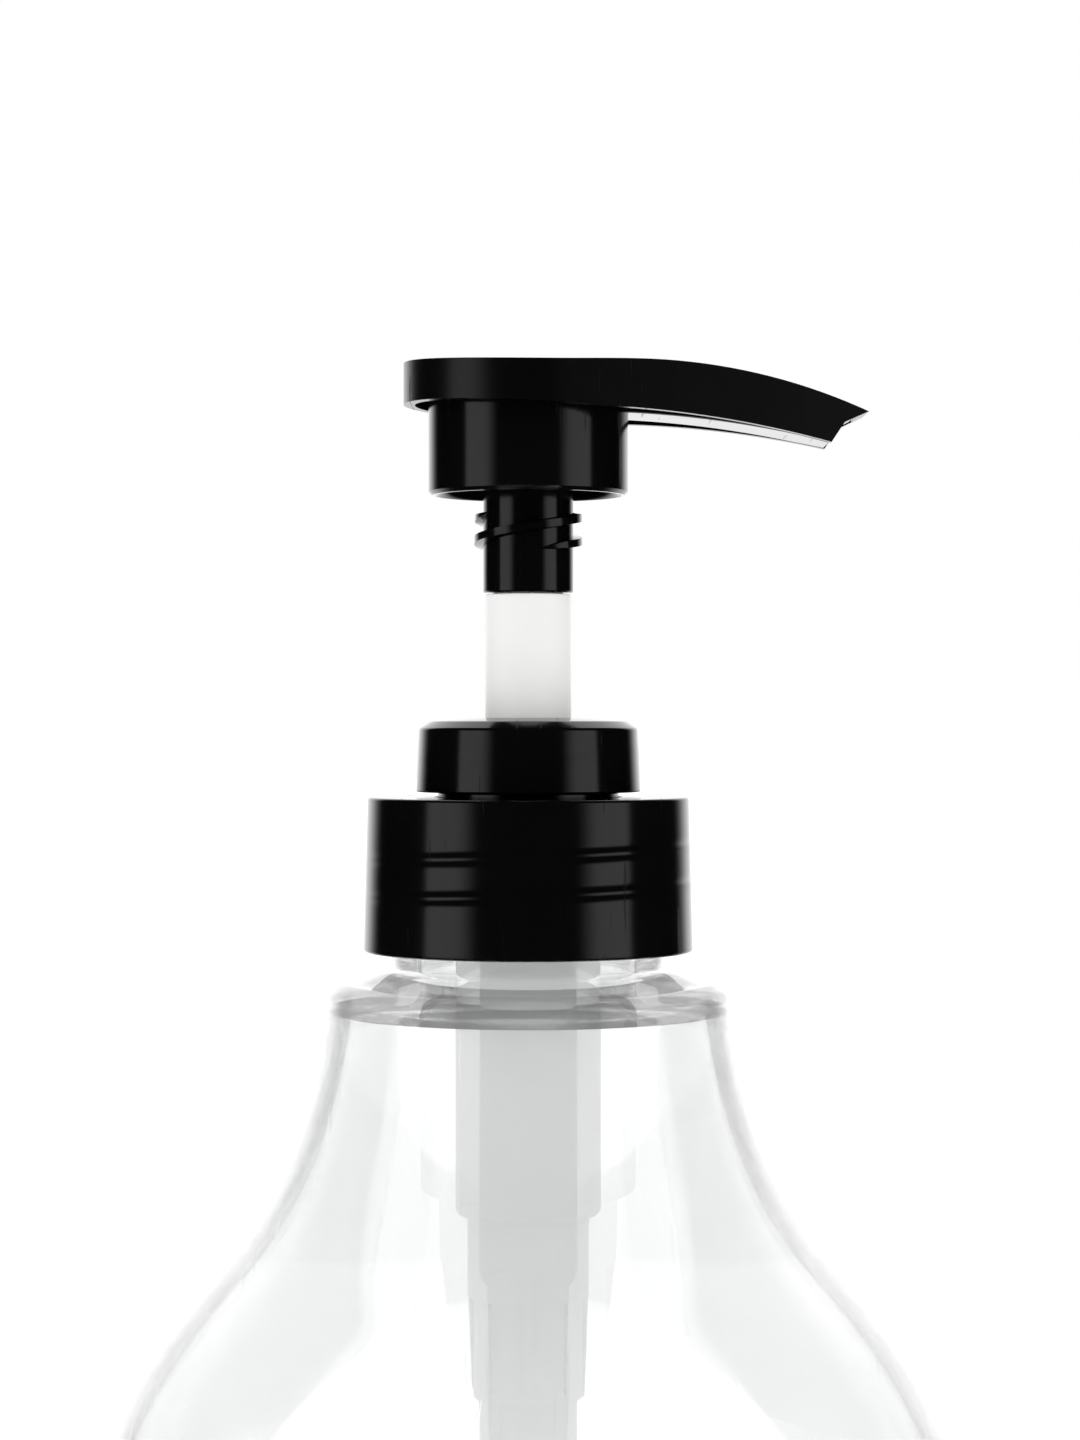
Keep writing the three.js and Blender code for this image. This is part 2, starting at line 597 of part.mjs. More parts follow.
// Half the width of the head at a place beyond its round back.
function halfWidthAt(x) {
  const slant = Math.acos(HEAD_BACK_RADIUS / Math.hypot(HEAD_REACH, TIP_HALF_WIDTH));
  const tangent = Math.atan2(TIP_HALF_WIDTH, HEAD_REACH) + slant;
  const joinX = HEAD_BACK_RADIUS * Math.cos(tangent);
  const joinY = HEAD_BACK_RADIUS * Math.sin(tangent);
  const slope = (joinY - TIP_HALF_WIDTH) / (HEAD_REACH - joinX);
  return joinY - slope * (Math.max(x, joinX) - joinX);
}

// Flat-bottomed channel under the head's top, made wider or narrower by a margin.
function spoutTube(margin, from, to) {
  const steps = 12;
  const loops = [];
  for (let i = 0; i <= steps; i += 1) {
    const x = from + (to - from) * i / steps;
    const room = halfWidthAt(x) - COVER_WALL - SPOUT_SIDE_GAP;
    const half = Math.min(SPOUT_HALF_WIDTH, room) + margin;
    const low = rimHeight(x) - margin;
    const high = topHeight(x) - COVER_TOP - SPOUT_TOP_GAP + margin;
    const bevel = SPOUT_CHAMFER;
    loops.push([
      [x, -half, low + bevel], [x, -half + bevel, low], [x, half - bevel, low],
      [x, half, low + bevel], [x, half, high - bevel], [x, half - bevel, high],
      [x, -half + bevel, high], [x, -half, high - bevel],
    ]);
  }
  return loft(loops);
}

function makeHeadCore() {
  const skirtInner = SKIRT_RADIUS - SKIRT_WALL;
  const deck = SKIRT_TOP - DECK_THICKNESS;
  const shell = turned([
    [0, NECK_BOTTOM], [NECK_RADIUS, NECK_BOTTOM], [NECK_RADIUS, deck], [skirtInner, deck],
    [skirtInner, SKIRT_BOTTOM + 0.6], [skirtInner + 0.5, SKIRT_BOTTOM],
    [SKIRT_RADIUS - 0.5, SKIRT_BOTTOM], [SKIRT_RADIUS, SKIRT_BOTTOM + 0.5],
    [SKIRT_RADIUS, SKIRT_TOP], [0, SKIRT_TOP],
  ], MIDDLE);
  const ridgeBottom = LOCK_BOTTOM + LOCK_RIDGE / 2;
  const ridges = lockRidges({
    root: NECK_RADIUS, crest: LOCK_CREST, width: LOCK_RIDGE, bottom: ridgeBottom,
    height: LOCK_ZONE - LOCK_RIDGE, firstAngle: LOCK_START_ANGLE,
  });
  const centreZ = (rimHeight(0) + topHeight(0) - COVER_TOP - SPOUT_TOP_GAP) / 2;
  const channel = cylinder(NECK_INNER, NECK_BOTTOM - 1, NECK_BOTTOM + SPIGOT_LENGTH + SEAT_GAP, SLIM)
    .add(cylinder(RISER_BORE, NECK_BOTTOM + 1, centreZ, SLIM))
    .add(spoutTube(-SPOUT_WALL, -1.5, HEAD_REACH + 6));
  const outside = ridges.reduce((all, ridge) => all.add(ridge), shell)
    .add(spoutTube(0, -4.5, HEAD_REACH + 3));
  return part('head_core', outside.subtract(channel).subtract(tipCutter(TIP_CUT_INSET)), BLACK);
}

// ---- stem, rod and piston -----------------------------------------------

function makeStem() {
  const spigotTop = NECK_BOTTOM + SPIGOT_LENGTH;
  const shoulderZ = NECK_BOTTOM - SEAT_GAP;
  const rodBore = ROD_RADIUS + FIT_CLEARANCE;
  const footTop = STEM_BOTTOM + STEM_FOOT_HEIGHT;
  return part('stem', ring([
    [rodBore, STEM_BOTTOM], [STEM_FOOT_RADIUS, STEM_BOTTOM],
    [STEM_FOOT_RADIUS, footTop], [STEM_RADIUS, footTop],
    [STEM_RADIUS, shoulderZ], [SPIGOT_RADIUS, shoulderZ], [SPIGOT_RADIUS, spigotTop - 0.6],
    [SPIGOT_RADIUS - 0.4, spigotTop], [STEM_BORE - 0.6, spigotTop],
    [STEM_BORE - 0.6, shoulderZ - 2], [STEM_BORE, shoulderZ - 4],
    [STEM_BORE, ROD_TOP + 1], [rodBore, ROD_TOP + 0.4],
  ], SLIM), WHITE);
}

function makePistonRod() {
  const rod = turned([
    [0, ROD_HEAD_BOTTOM], [ROD_HEAD_RADIUS, ROD_HEAD_BOTTOM],
    [ROD_HEAD_RADIUS, ROD_HEAD_TOP], [ROD_RADIUS, ROD_HEAD_TOP],
    [ROD_RADIUS, ROD_TOP - 0.5], [ROD_RADIUS - 0.4, ROD_TOP],
    [ROD_BORE, ROD_TOP], [ROD_BORE, ROD_HEAD_TOP + 0.4], [0, ROD_HEAD_TOP + 0.4],
  ], SLIM);
  const portZ = ROD_HEAD_TOP + 0.4 + PORT_RADIUS + 0.5;
  let body = rod;
  for (let i = 0; i < PORT_COUNT / 2; i += 1) {
    const drill = new THREE.CylinderGeometry(PORT_RADIUS, PORT_RADIUS, 2 * ROD_HEAD_RADIUS, 12);
    drill.rotateZ(i * Math.PI / 2);
    drill.translate(0, 0, portZ);
    body = body.subtract(solid(drill));
  }
  return part('piston_rod', body, WHITE);
}

function makePiston() {
  const bottom = ROD_HEAD_TOP + PISTON_GAP;
  const top = bottom + PISTON_HEIGHT;
  const lip = BARREL_BORE - PISTON_GAP;
  const web = lip - PISTON_SKIRT;
  const hub = PISTON_HUB;
  const seal = hub - 1;
  const bore = ROD_RADIUS + FIT_CLEARANCE;
  return part('piston', ring([
    [seal, bottom], [hub, bottom], [hub, bottom + 2.6], [web, bottom + 2.6],
    [lip - 0.5, bottom], [lip, bottom], [lip - 0.4, bottom + 2.4],
    [lip - 0.4, top - 2.2], [lip, top], [lip - 0.5, top], [web, top - 2.8],
    [hub, top - 2.8], [hub, top], [bore, top], [bore, bottom + 3.6], [seal, bottom + 2.8],
  ], SLIM), NATURAL);
}

// ---- spring, housing, valve and dip tube --------------------------------

function makeSpring() {
  const bottom = CAGE_Z + CAGE_FLANGE + 0.1 + SPRING_WIRE / 2;
  const top = ROD_HEAD_BOTTOM - 0.2 - SPRING_WIRE / 2;
  const activePitch = (top - bottom - 2 * SPRING_END_PITCH) / (SPRING_COILS - 2);
  const perTurn = 12;
  const sides = 5;
  const loops = [];
  for (let i = 0; i <= SPRING_COILS * perTurn; i += 1) {
    const turn = i / perTurn;
    const endTurns = Math.min(turn, 1) + Math.max(0, turn - (SPRING_COILS - 1));
    const z = bottom + endTurns * SPRING_END_PITCH + (turn - endTurns) * activePitch;
    const section = arc([SPRING_RADIUS, z], SPRING_WIRE / 2, 0, 2 * Math.PI, sides).slice(1);
    loops.push(atAngle(section, 2 * Math.PI * turn));
  }
  return part('return_spring', loft(loops), STEEL);
}

function makeHousing() {
  const boreFloor = BARREL_BOTTOM + BARREL_FLOOR;
  const tubeStop = TUBE_TOP + SEAT_GAP;
  const body = ring([
    [SEAT_HOLE, tubeStop], [SOCKET_BORE, tubeStop],
    [SOCKET_BORE, SOCKET_BOTTOM], [SOCKET_RADIUS, SOCKET_BOTTOM],
    [SOCKET_RADIUS, CHAMBER_BOTTOM], [CHAMBER_RADIUS, CHAMBER_BOTTOM],
    [CHAMBER_RADIUS, BARREL_BOTTOM], [BARREL_RADIUS - 0.5, BARREL_BOTTOM],
    [BARREL_RADIUS, BARREL_BOTTOM + 0.5], [BARREL_RADIUS, FLANGE_BOTTOM],
    [FLANGE_RADIUS, FLANGE_BOTTOM], [FLANGE_RADIUS, FLANGE_TOP],
    [BARREL_BORE, FLANGE_TOP], [BARREL_BORE, boreFloor + 1],
    [CHAMBER_BORE, boreFloor], [CHAMBER_BORE, CAGE_Z],
    [BALL_CHAMBER_RADIUS, CAGE_Z], [BALL_CHAMBER_RADIUS, SEAT_CONE_TOP],
    [SEAT_HOLE, SEAT_CONE_BOTTOM],
  ], MIDDLE);
  let housing = body;
  const depth = RIB_RADIUS - SOCKET_BORE - 0.2;
  for (let i = 0; i < RIB_COUNT; i += 1) {
    const bottom = i === 0 ? SOCKET_BOTTOM : SOCKET_BOTTOM + RIB_SHORTER_BY;
    const rib = new THREE.BoxGeometry(depth, RIB_THICKNESS, CHAMBER_BOTTOM + 0.5 - bottom);
    rib.translate(RIB_RADIUS - depth / 2, 0, (CHAMBER_BOTTOM + 0.5 + bottom) / 2);
    rib.rotateZ(2 * Math.PI * i / RIB_COUNT);
    housing = housing.add(solid(rib));
  }
  return part('pump_housing', housing, NATURAL);
}

// Centre height of the ball when it rests on the seat cone.
function ballRestHeight() {
  const slope = Math.atan2(BALL_CHAMBER_RADIUS - SEAT_HOLE, SEAT_CONE_TOP - SEAT_CONE_BOTTOM);
  const apex = SEAT_CONE_BOTTOM - SEAT_HOLE / Math.tan(slope);
  return apex + (BALL_RADIUS + BALL_GAP) / Math.sin(slope);
}

function makeCheckBall() {
  const ball = new THREE.SphereGeometry(BALL_RADIUS, 16, 10);
  ball.rotateX(Math.PI / 2);
  const node = part('check_ball', solid(ball), STEEL);
  node.position.z = ballRestHeight();
  return node;
}

function makeBallCage() {
  const bottom = CAGE_Z + 0.1;
  const wall = BALL_CHAMBER_RADIUS + 0.5;
  const top = bottom + CAGE_HEIGHT;
  const crown = ring([
    [BALL_CHAMBER_RADIUS - 0.2, bottom], [CHAMBER_BORE - 0.15, bottom],
    [CHAMBER_BORE - 0.15, CAGE_Z + CAGE_FLANGE], [wall, CAGE_Z + CAGE_FLANGE],
    [wall, top], [1.2, top], [1.2, top - CAGE_CROWN],
    [BALL_CHAMBER_RADIUS - 0.2, top - CAGE_CROWN],
  ], SLIM);
  const slotBottom = CAGE_Z + CAGE_FLANGE + 0.2;
  let cage = crown;
  for (let i = 0; i < 4; i += 1) {
    const angle = Math.PI / 4 + i * Math.PI / 2;
    const slot = new THREE.BoxGeometry(4, CAGE_SLOT, top - slotBottom + 1);
    slot.translate(4.2, 0, (top + 1 + slotBottom) / 2);
    slot.rotateZ(angle);
    cage = cage.subtract(solid(slot));
  }
  return part('ball_cage', cage, NATURAL);
}

function makeDipTube() {
  const tube = washer(TUBE_BORE, TUBE_RADIUS, TUBE_BOTTOM, TUBE_TOP, SLIM);
  const wedge = new THREE.Shape([
    new THREE.Vector2(-TUBE_RADIUS - 2, TUBE_BOTTOM - 3),
    new THREE.Vector2(TUBE_RADIUS, TUBE_BOTTOM - 3),
    new THREE.Vector2(TUBE_RADIUS, TUBE_BOTTOM),
    new THREE.Vector2(-TUBE_RADIUS - 2, TUBE_BOTTOM + TUBE_CUT),
  ]);
  return part('dip_tube', tube.subtract(sidePrism(wedge, TUBE_RADIUS + 2)), NATURAL);
}

const pump = new THREE.Group();
pump.add(
  makeBottle(), makeClosure(), makeGasket(), makeCollar(),
  makeHeadCover(), makeHeadCore(), makeStem(), makePistonRod(), makePiston(),
  makeSpring(), makeHousing(), makeBallCage(), makeCheckBall(), makeDipTube(),
);

export default pump;
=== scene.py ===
"""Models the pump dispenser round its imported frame: a glass jug with a lock-down lotion pump."""

import math

import bpy
from bpy.props import FloatProperty, FloatVectorProperty, IntProperty, PointerProperty
from bpy.types import Operator, Panel, PropertyGroup
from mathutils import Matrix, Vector


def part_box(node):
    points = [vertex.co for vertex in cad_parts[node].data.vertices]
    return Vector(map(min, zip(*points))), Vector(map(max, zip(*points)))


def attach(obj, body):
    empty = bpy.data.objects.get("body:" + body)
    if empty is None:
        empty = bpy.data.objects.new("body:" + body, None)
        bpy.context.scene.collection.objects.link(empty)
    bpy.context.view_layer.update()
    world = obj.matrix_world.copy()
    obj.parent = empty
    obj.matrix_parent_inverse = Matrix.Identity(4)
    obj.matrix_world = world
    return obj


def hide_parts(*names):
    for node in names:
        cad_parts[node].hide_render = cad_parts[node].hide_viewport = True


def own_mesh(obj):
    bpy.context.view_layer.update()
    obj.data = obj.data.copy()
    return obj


bl_info = {
    "name": "Pump Dispenser",
    "version": (1, 0, 0),
    "blender": (4, 5, 0),
    "location": "3D View > Sidebar > Pump",
    "description": "Models a glass jug with a lock-down lotion pump, piece by piece",
    "category": "Add Mesh",
}

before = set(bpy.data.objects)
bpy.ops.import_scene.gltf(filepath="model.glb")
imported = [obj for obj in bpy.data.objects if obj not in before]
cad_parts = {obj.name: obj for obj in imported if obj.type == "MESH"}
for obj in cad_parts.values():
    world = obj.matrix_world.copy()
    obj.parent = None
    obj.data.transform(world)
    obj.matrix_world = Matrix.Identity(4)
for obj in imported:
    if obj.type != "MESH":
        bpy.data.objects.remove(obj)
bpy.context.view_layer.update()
MM = 0.001

BOTTLE_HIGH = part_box("bottle")[1]
CLOSURE_LOW, CLOSURE_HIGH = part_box("closure")
COLLAR_LOW, COLLAR_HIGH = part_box("collar")
COVER_LOW, COVER_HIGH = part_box("head_cover")
CORE_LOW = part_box("head_core")[0]
STEM_LOW, STEM_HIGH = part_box("stem")
HOUSING_LOW, HOUSING_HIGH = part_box("pump_housing")
TUBE_LOW, TUBE_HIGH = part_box("dip_tube")
SPRING_LOW, SPRING_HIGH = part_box("return_spring")
GASKET_LOW, GASKET_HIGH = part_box("gasket")
BALL_LOW, BALL_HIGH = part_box("check_ball")


def length(name, description, default):
    """Length property in metres with a millimetre-sized default."""
    return FloatProperty(name=name, description=description, default=default, min=0.0,
                         precision=5, unit="LENGTH")


def colour(name, description, default):
    """Colour property."""
    return FloatVectorProperty(name=name, description=description, default=default, size=4,
                               min=0.0, max=1.0, subtype="COLOR")


class PumpSizes(PropertyGroup):
    """Sizes that the frame doesn't state by itself."""

    facets: IntProperty(name="Facets", description="Facets round a large turned piece",
                        default=160, min=24, max=256)
    glass_wall: length("Glass wall", "Thickness of the jug's side", 3.2 * MM)
    neck_bore: length("Neck bore", "Radius of the hole through the jug's neck", 14.5 * MM)
    neck_band: length("Neck band", "Radius of the plain band under the screw thread", 18.3 * MM)
    neck_root: length("Neck root", "Radius of the neck between its threads", 17.5 * MM)
    ledge: length("Ledge height", "Height of the glass ledge under the closure", 238.3 * MM)
    shoulder_top: length("Shoulder top", "Height at which the ledge turns down", 232.9 * MM)
    shoulder_bottom: length("Shoulder bottom", "Height at which the side is straight", 159.3 * MM)
    shoulder_neck: length("Shoulder neck", "Radius at the top of the shoulder", 26.9 * MM)
    finish_pitch: length("Screw pitch", "Rise of the closure's thread in one turn", 4.233 * MM)
    thread_low: length("Thread start", "Height at which the jug's thread starts", 246.5 * MM)
    lock_lead: length("Lock lead", "Rise of the two-start lock thread in one turn", 6.3 * MM)
    lock_ridge: length("Lock ridge", "Thickness of one ridge on the head's neck", 1.5 * MM)
    collar_ridge: length("Collar ridge", "Thickness of one ridge in the collar", 0.96 * MM)
    lock_zone: length("Lock zone", "Height of the neck's threaded part", 6.5 * MM)
    lock_start: FloatProperty(name="Lock start", description="Angle at which a ridge starts",
                              default=math.radians(-75), subtype="ANGLE")
    lock_drop: length("Lock zone drop", "How far the skirt's rim stands over the ridges", 1.6 * MM)
    stroke: length("Stroke", "How far the head is pressed down", 22 * MM)
    collar_gap: length("Collar gap", "Gap between the closure and the collar's rim", 0.7 * MM)
    collar_floor: length("Collar floor", "Floor under the collar's ridges", 1.7 * MM)
    sink_width: length("Sink width", "Half width of a sink mark over a thread", 0.75 * MM)
    lock_crest: length("Lock crest", "Radius over the neck's lock ridges", 7.25 * MM)
    neck_radius: length("Head neck", "Radius of the black neck under the skirt", 6.05 * MM)
    skirt_radius: length("Skirt", "Outer radius of the head's skirt", 13.4 * MM)
    skirt_bottom: length("Skirt bottom", "Height of the skirt's lower rim", 301.85 * MM)
    stem_radius: length("Stem", "Radius of the white stem", 5.75 * MM)
    cover_wall: length("Cover wall", "Thickness of the head cover's walls", 1.5 * MM)
    cover_top: length("Cover top", "Thickness of the head cover's top", 1.3 * MM)
    reach: length("Spout reach", "Distance from the axis to the spout's beak", 45.2 * MM)
    tip_half: length("Tip half width", "Half the width of the head at its tip", 4.9 * MM)
    saddle: length("Saddle height", "Height of the dip in the head's top", 318.57 * MM)
    saddle_rise: length("Saddle rise", "How far the back of the top stands over the dip", 0.9 * MM)
    rim_height: length("Rim height", "Height of the walls' lower rim at the axis", 313.15 * MM)
    rim_arc: length("Rim arc", "Radius on which the lower rim falls away", 138.9 * MM)
    top_arc: length("Top arc", "Radius on which the top falls to the tip", 77.5 * MM)
    spout_half: length("Spout half width", "Half the width of the spout's channel", 5.8 * MM)
    spring_wire: length("Spring wire", "Diameter of the spring's wire", 0.9 * MM)


class PumpFinishes(PropertyGroup):
    """Colours of the finishes."""

    black: colour("Black plastic", "Gloss black of the pump", (0.0022, 0.0022, 0.0024, 1))
    white: colour("White plastic", "Satin white of the stem", (0.76, 0.757, 0.748, 1))
    natural: colour("Natural plastic", "Milky plastic of the housing", (0.985, 0.986, 0.984, 1))
    glass: colour("Glass", "Tint of the jug", (0.985, 0.993, 0.992, 1))
    foam: colour("Foam", "Gasket foam", (0.75, 0.75, 0.72, 1))
    steel: colour("Steel", "Spring and ball", (0.60, 0.61, 0.63, 1))
    floor: colour("Floor", "Plain pale floor", (0.92, 0.92, 0.92, 1))


class PumpStage(PropertyGroup):
    """Camera of the stage."""

    distance: length("Camera distance", "Distance from the pump's axis to the camera", 0.4476)
    side: length("Camera side", "How far the camera stands to the spout's side", 1.57 * MM)
    above: length("Camera height", "Camera height over the closure's lower rim", 30.9 * MM)
    lens: FloatProperty(name="Lens", description="Focal length on a 36 mm frame", default=83.5,
                        min=10.0)


# ---- modelling helpers ---------------------------------------------------


def clear_selection():
    """Leaves edit mode and deselects every object."""
    if bpy.context.object and bpy.context.object.mode != "OBJECT":
        bpy.ops.object.mode_set(mode="OBJECT")
    bpy.ops.object.select_all(action="DESELECT")


def begin(name):
    """Names the primitive just added and opens it in edit mode with everything selected."""
    piece = bpy.context.object
    piece.name = name
    piece.data.name = name
    bpy.ops.object.mode_set(mode="EDIT")
    bpy.ops.mesh.select_all(action="SELECT")
    return piece


def pick(piece, wanted, mode="VERT"):
    """Selects in edit mode the vertices whose place passes a test, or the faces whose centre does."""
    bpy.ops.mesh.select_all(action="DESELECT")
    bpy.ops.mesh.select_mode(type=mode)
    bpy.ops.object.mode_set(mode="OBJECT")
    matrix = piece.matrix_world
    chosen = piece.data.polygons if mode == "FACE" else piece.data.vertices
    for item in chosen:
        item.select = wanted(matrix @ (item.center if mode == "FACE" else item.co))
    bpy.ops.object.mode_set(mode="EDIT")


def close_up(piece, smooth=35.0, tidy=True):
    """Merges doubles, turns faces outwards, applies the place and smooths the shading."""
    if piece.mode != "EDIT":
        bpy.ops.object.mode_set(mode="EDIT")
    bpy.ops.mesh.select_all(action="SELECT")
    if tidy:
        bpy.ops.mesh.remove_doubles(threshold=1e-7)
        bpy.ops.mesh.normals_make_consistent(inside=False)
    bpy.ops.object.mode_set(mode="OBJECT")
    bpy.ops.object.transform_apply(location=True, rotation=True, scale=True)
    bpy.ops.object.shade_smooth_by_angle(angle=math.radians(smooth))
    return piece


def turned(name, profile, facets, closed=True, smooth=35.0):
    """Turned piece: one circle extruded and scaled, ring by ring, along (radius, height) points.
    A closed profile returns to its first ring; an open one has its two ends filled."""
    clear_selection()
    radius, height = profile[0]
    bpy.ops.mesh.primitive_circle_add(vertices=facets, radius=radius, location=(0, 0, height))
    piece = begin(name)
    for ring_radius, ring_height in profile[1:] + (profile[:1] if closed else []):
        bpy.ops.mesh.extrude_region_move(
            TRANSFORM_OT_translate={"value": (0, 0, ring_height - height)})
        scale = ring_radius / radius
        bpy.ops.transform.resize(value=(scale, scale, 1), center_override=(0, 0, ring_height))
        radius, height = ring_radius, ring_height
    bpy.ops.mesh.select_all(action="SELECT")
    bpy.ops.mesh.remove_doubles(threshold=1e-7)
    if not closed:
        bpy.ops.mesh.fill_holes(sides=0)
    return close_up(piece, smooth)


def modify(piece, kind, **settings):
    """Adds one modifier to a piece and applies it."""
    clear_selection()
    piece.select_set(True)
    bpy.context.view_layer.objects.active = piece
    bpy.ops.object.modifier_add(type=kind)
    modifier = piece.modifiers[-1]
    for key, value in settings.items():
        setattr(modifier, key, value)
    bpy.ops.object.modifier_apply(modifier=modifier.name)
    return piece


def round_edges(piece, width, angle=40.0, segments=3):
    """Rounds the edges sharper than an angle."""
    modify(piece, "BEVEL", width=width, segments=segments, limit_method="ANGLE",
           angle_limit=math.radians(angle), use_clamp_overlap=True)
    bpy.ops.object.shade_smooth_by_angle(angle=math.radians(35))
    return piece


def combine(piece, others, operation="UNION"):
    """Joins other solids to a piece, or cuts them from it, and removes them."""
    for other in others:
        modify(piece, "BOOLEAN", operation=operation, object=other, solver="EXACT")
        bpy.data.objects.remove(other)
    bpy.ops.object.shade_smooth_by_angle(angle=math.radians(35))
    return piece


def prism(name, corners, half_depth):
    """Closed prism across Y whose side is a polygon of (x, z) corners."""
    clear_selection()
    bpy.ops.mesh.primitive_circle_add(vertices=len(corners), radius=0.5, fill_type="NGON",
                                      location=(0, 0, 0))
    piece = begin(name)
    starts = [vertex.co.copy() for vertex in piece.data.vertices]
    for start, (x, z) in zip(starts, corners):
        pick(piece, lambda co: (co - start).length < 1e-5)
        bpy.ops.transform.translate(value=Vector((x, -half_depth, z)) - start)
    bpy.ops.mesh.select_all(action="SELECT")
    bpy.ops.mesh.extrude_region_move(TRANSFORM_OT_translate={"value": (0, 2 * half_depth, 0)})
    return close_up(piece)


def tip_cutter(name, inset, sizes):
    """Everything beyond the head's notched tip, moved back by an inset."""
    beak_x, beak_z = sizes.reach - inset, top_height(sizes.reach, sizes)
    notch = [(0, 0), (3.3, 1.5), (4.9, 3.9), (6.9, 6.9)]
    edge = [(beak_x - back * MM, beak_z - down * MM) for back, down in notch]
    far, above = beak_x + 12 * MM, beak_z + 12 * MM
    return prism(name, [(far, edge[-1][1]), (far, above), (beak_x, above), *edge], 12 * MM)


def turn_about_z(angle):
    """Turns the selection in edit mode about the Z axis, anticlockwise from above."""
    bpy.ops.transform.rotate(value=-angle, orient_axis="Z", orient_type="GLOBAL",
                             center_override=(0, 0, 0))


def coil(name, radius, rise, steps, step_angle, start_angle, bottom, section, scale):
    """A section extruded step by step up a helix. rise(i) is the climb of step i, section adds
    the flat start face at the origin, and scale(i) is the section's size at step i."""
    clear_selection()
    section()
    piece = begin(name)
    bpy.ops.transform.translate(value=(radius, 0, bottom))
    turn_about_z(start_angle)
    height, angle, size = bottom, start_angle, scale(0)
    centre = (radius * math.cos(angle), radius * math.sin(angle), height)
    bpy.ops.transform.resize(value=(size,) * 3, center_override=centre)
    for step in range(1, steps + 1):
        climb = rise(step)
        bpy.ops.mesh.extrude_region_move(TRANSFORM_OT_translate={"value": (0, 0, climb)})
        turn_about_z(step_angle)
        height, angle = height + climb, angle + step_angle
        ratio = scale(step) / size
        size = scale(step)
        centre = (radius * math.cos(angle), radius * math.sin(angle), height)
        if abs(ratio - 1) > 1e-6:
            bpy.ops.transform.resize(value=(ratio,) * 3, center_override=centre)
    return close_up(piece)


def thread_ridge(name, root, crest, width, pitch, turns, bottom, start_angle):
    """Right-hand thread ridge that stands from root to crest and fades at both ends."""
    per_turn = 48
    steps = round(turns * per_turn)
    inward = math.copysign(0.3 * MM, root - crest)
    near, far = inward, crest - root

    def section():
        bpy.ops.mesh.primitive_plane_add(size=1, rotation=(math.pi / 2, 0, 0))
        bpy.ops.object.transform_apply(rotation=True)
        plane = begin(name)
        bpy.ops.transform.resize(value=(abs(far - near), 1, width), center_override=(0, 0, 0))
        bpy.ops.transform.translate(value=((far + near) / 2, 0, 0))
        pick(plane, lambda co: (co.x - (far + near) / 2) * far > 0)
        bpy.ops.transform.resize(value=(1, 1, 0.67), center_override=(0, 0, 0))
        bpy.ops.object.mode_set(mode="OBJECT")

    def scale(step):
        return min(1.0, 0.12 + min(step, steps - step) / (per_turn * 0.12))

    return coil(name, root, lambda step: pitch / per_turn, steps, 2 * math.pi / per_turn,
                start_angle, bottom, section, scale)


def keep(piece, body, node, finish):
    """Puts a finished piece in the frame: its body, the node it stands for, its finish."""
    piece.data.materials.clear()
    piece.data.materials.append(finish)
    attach(piece, body)
    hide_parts(node)
    return piece


def arc(centre, radius, start, end, steps):
    """Points (radius, height) along a circular arc, angles in degrees."""
    points = []
    for step in range(steps + 1):
        angle = math.radians(start + (end - start) * step / steps)
        points.append((centre[0] + radius * math.cos(angle), centre[1] + radius * math.sin(angle)))
    return points


def cubic(start, pull_start, pull_end, end, steps):
    """Points of a cubic curve."""
    points = []
    for step in range(steps + 1):
        t = step / steps
        u = 1 - t
        points.append(tuple(u ** 3 * a + 3 * u * u * t * b + 3 * u * t * t * c + t ** 3 * d
                            for a, b, c, d in zip(start, pull_start, pull_end, end)))
    return points


def rim_height(x, sizes):
    """Height of the head's lower rim: a gentle slope that falls away past the skirt."""
    start = sizes.skirt_radius
    return falling_arc(max(x, start), start, sizes.rim_height - 0.05 * x, sizes.rim_arc)


def top_height(x, sizes):
    """Height of the head's saddle-shaped top: raised at the back, dipped over the axis, then a
    low crest from which it falls to the tip."""
    dip, crest = 1.0 * MM, sizes.skirt_radius + 1.6 * MM
    if x < dip:
        back = (x - dip) / (COVER_LOW.x - dip)
        return sizes.saddle + sizes.saddle_rise * min(1.0, back ** 2)
    along = (min(x, crest) - dip) / (crest - dip)
    height = sizes.saddle + 0.28 * MM * (1 - math.cos(math.pi * along)) / 2
    return falling_arc(max(x, crest), crest, height, sizes.top_arc)


def falling_arc(x, x0, z0, radius):
    """Height of a circular arc that starts level at x0 and falls away."""
    return z0 - radius + math.sqrt(radius ** 2 - (x - x0) ** 2)


# ---- shader helpers ------------------------------------------------------


class Term:
    """A shader socket that can be used in arithmetic."""

    def __init__(self, writer, socket):
        self.writer = writer
        self.socket = socket

    def math(self, operation, *others):
        values = dict(enumerate((self, *others)))
        return self.writer.add("ShaderNodeMath", {"operation": operation}, values)

    def __add__(self, other):
        return self.math("ADD", other)

    __radd__ = __add__

    def __sub__(self, other):
        return self.math("SUBTRACT", other)

    def __rsub__(self, other):
        return self.writer.add("ShaderNodeMath", {"operation": "SUBTRACT"}, {0: other, 1: self})

    def __mul__(self, other):
        return self.math("MULTIPLY", other)

    __rmul__ = __mul__

    def __truediv__(self, other):
        return self.math("DIVIDE", other)

    def step(self, low, high):
        """0 below low, 1 above high, smooth between them."""
        return self.writer.add("ShaderNodeMapRange", {"interpolation_type": "SMOOTHSTEP"},
                               {"Value": self, "From Min": low, "From Max": high})


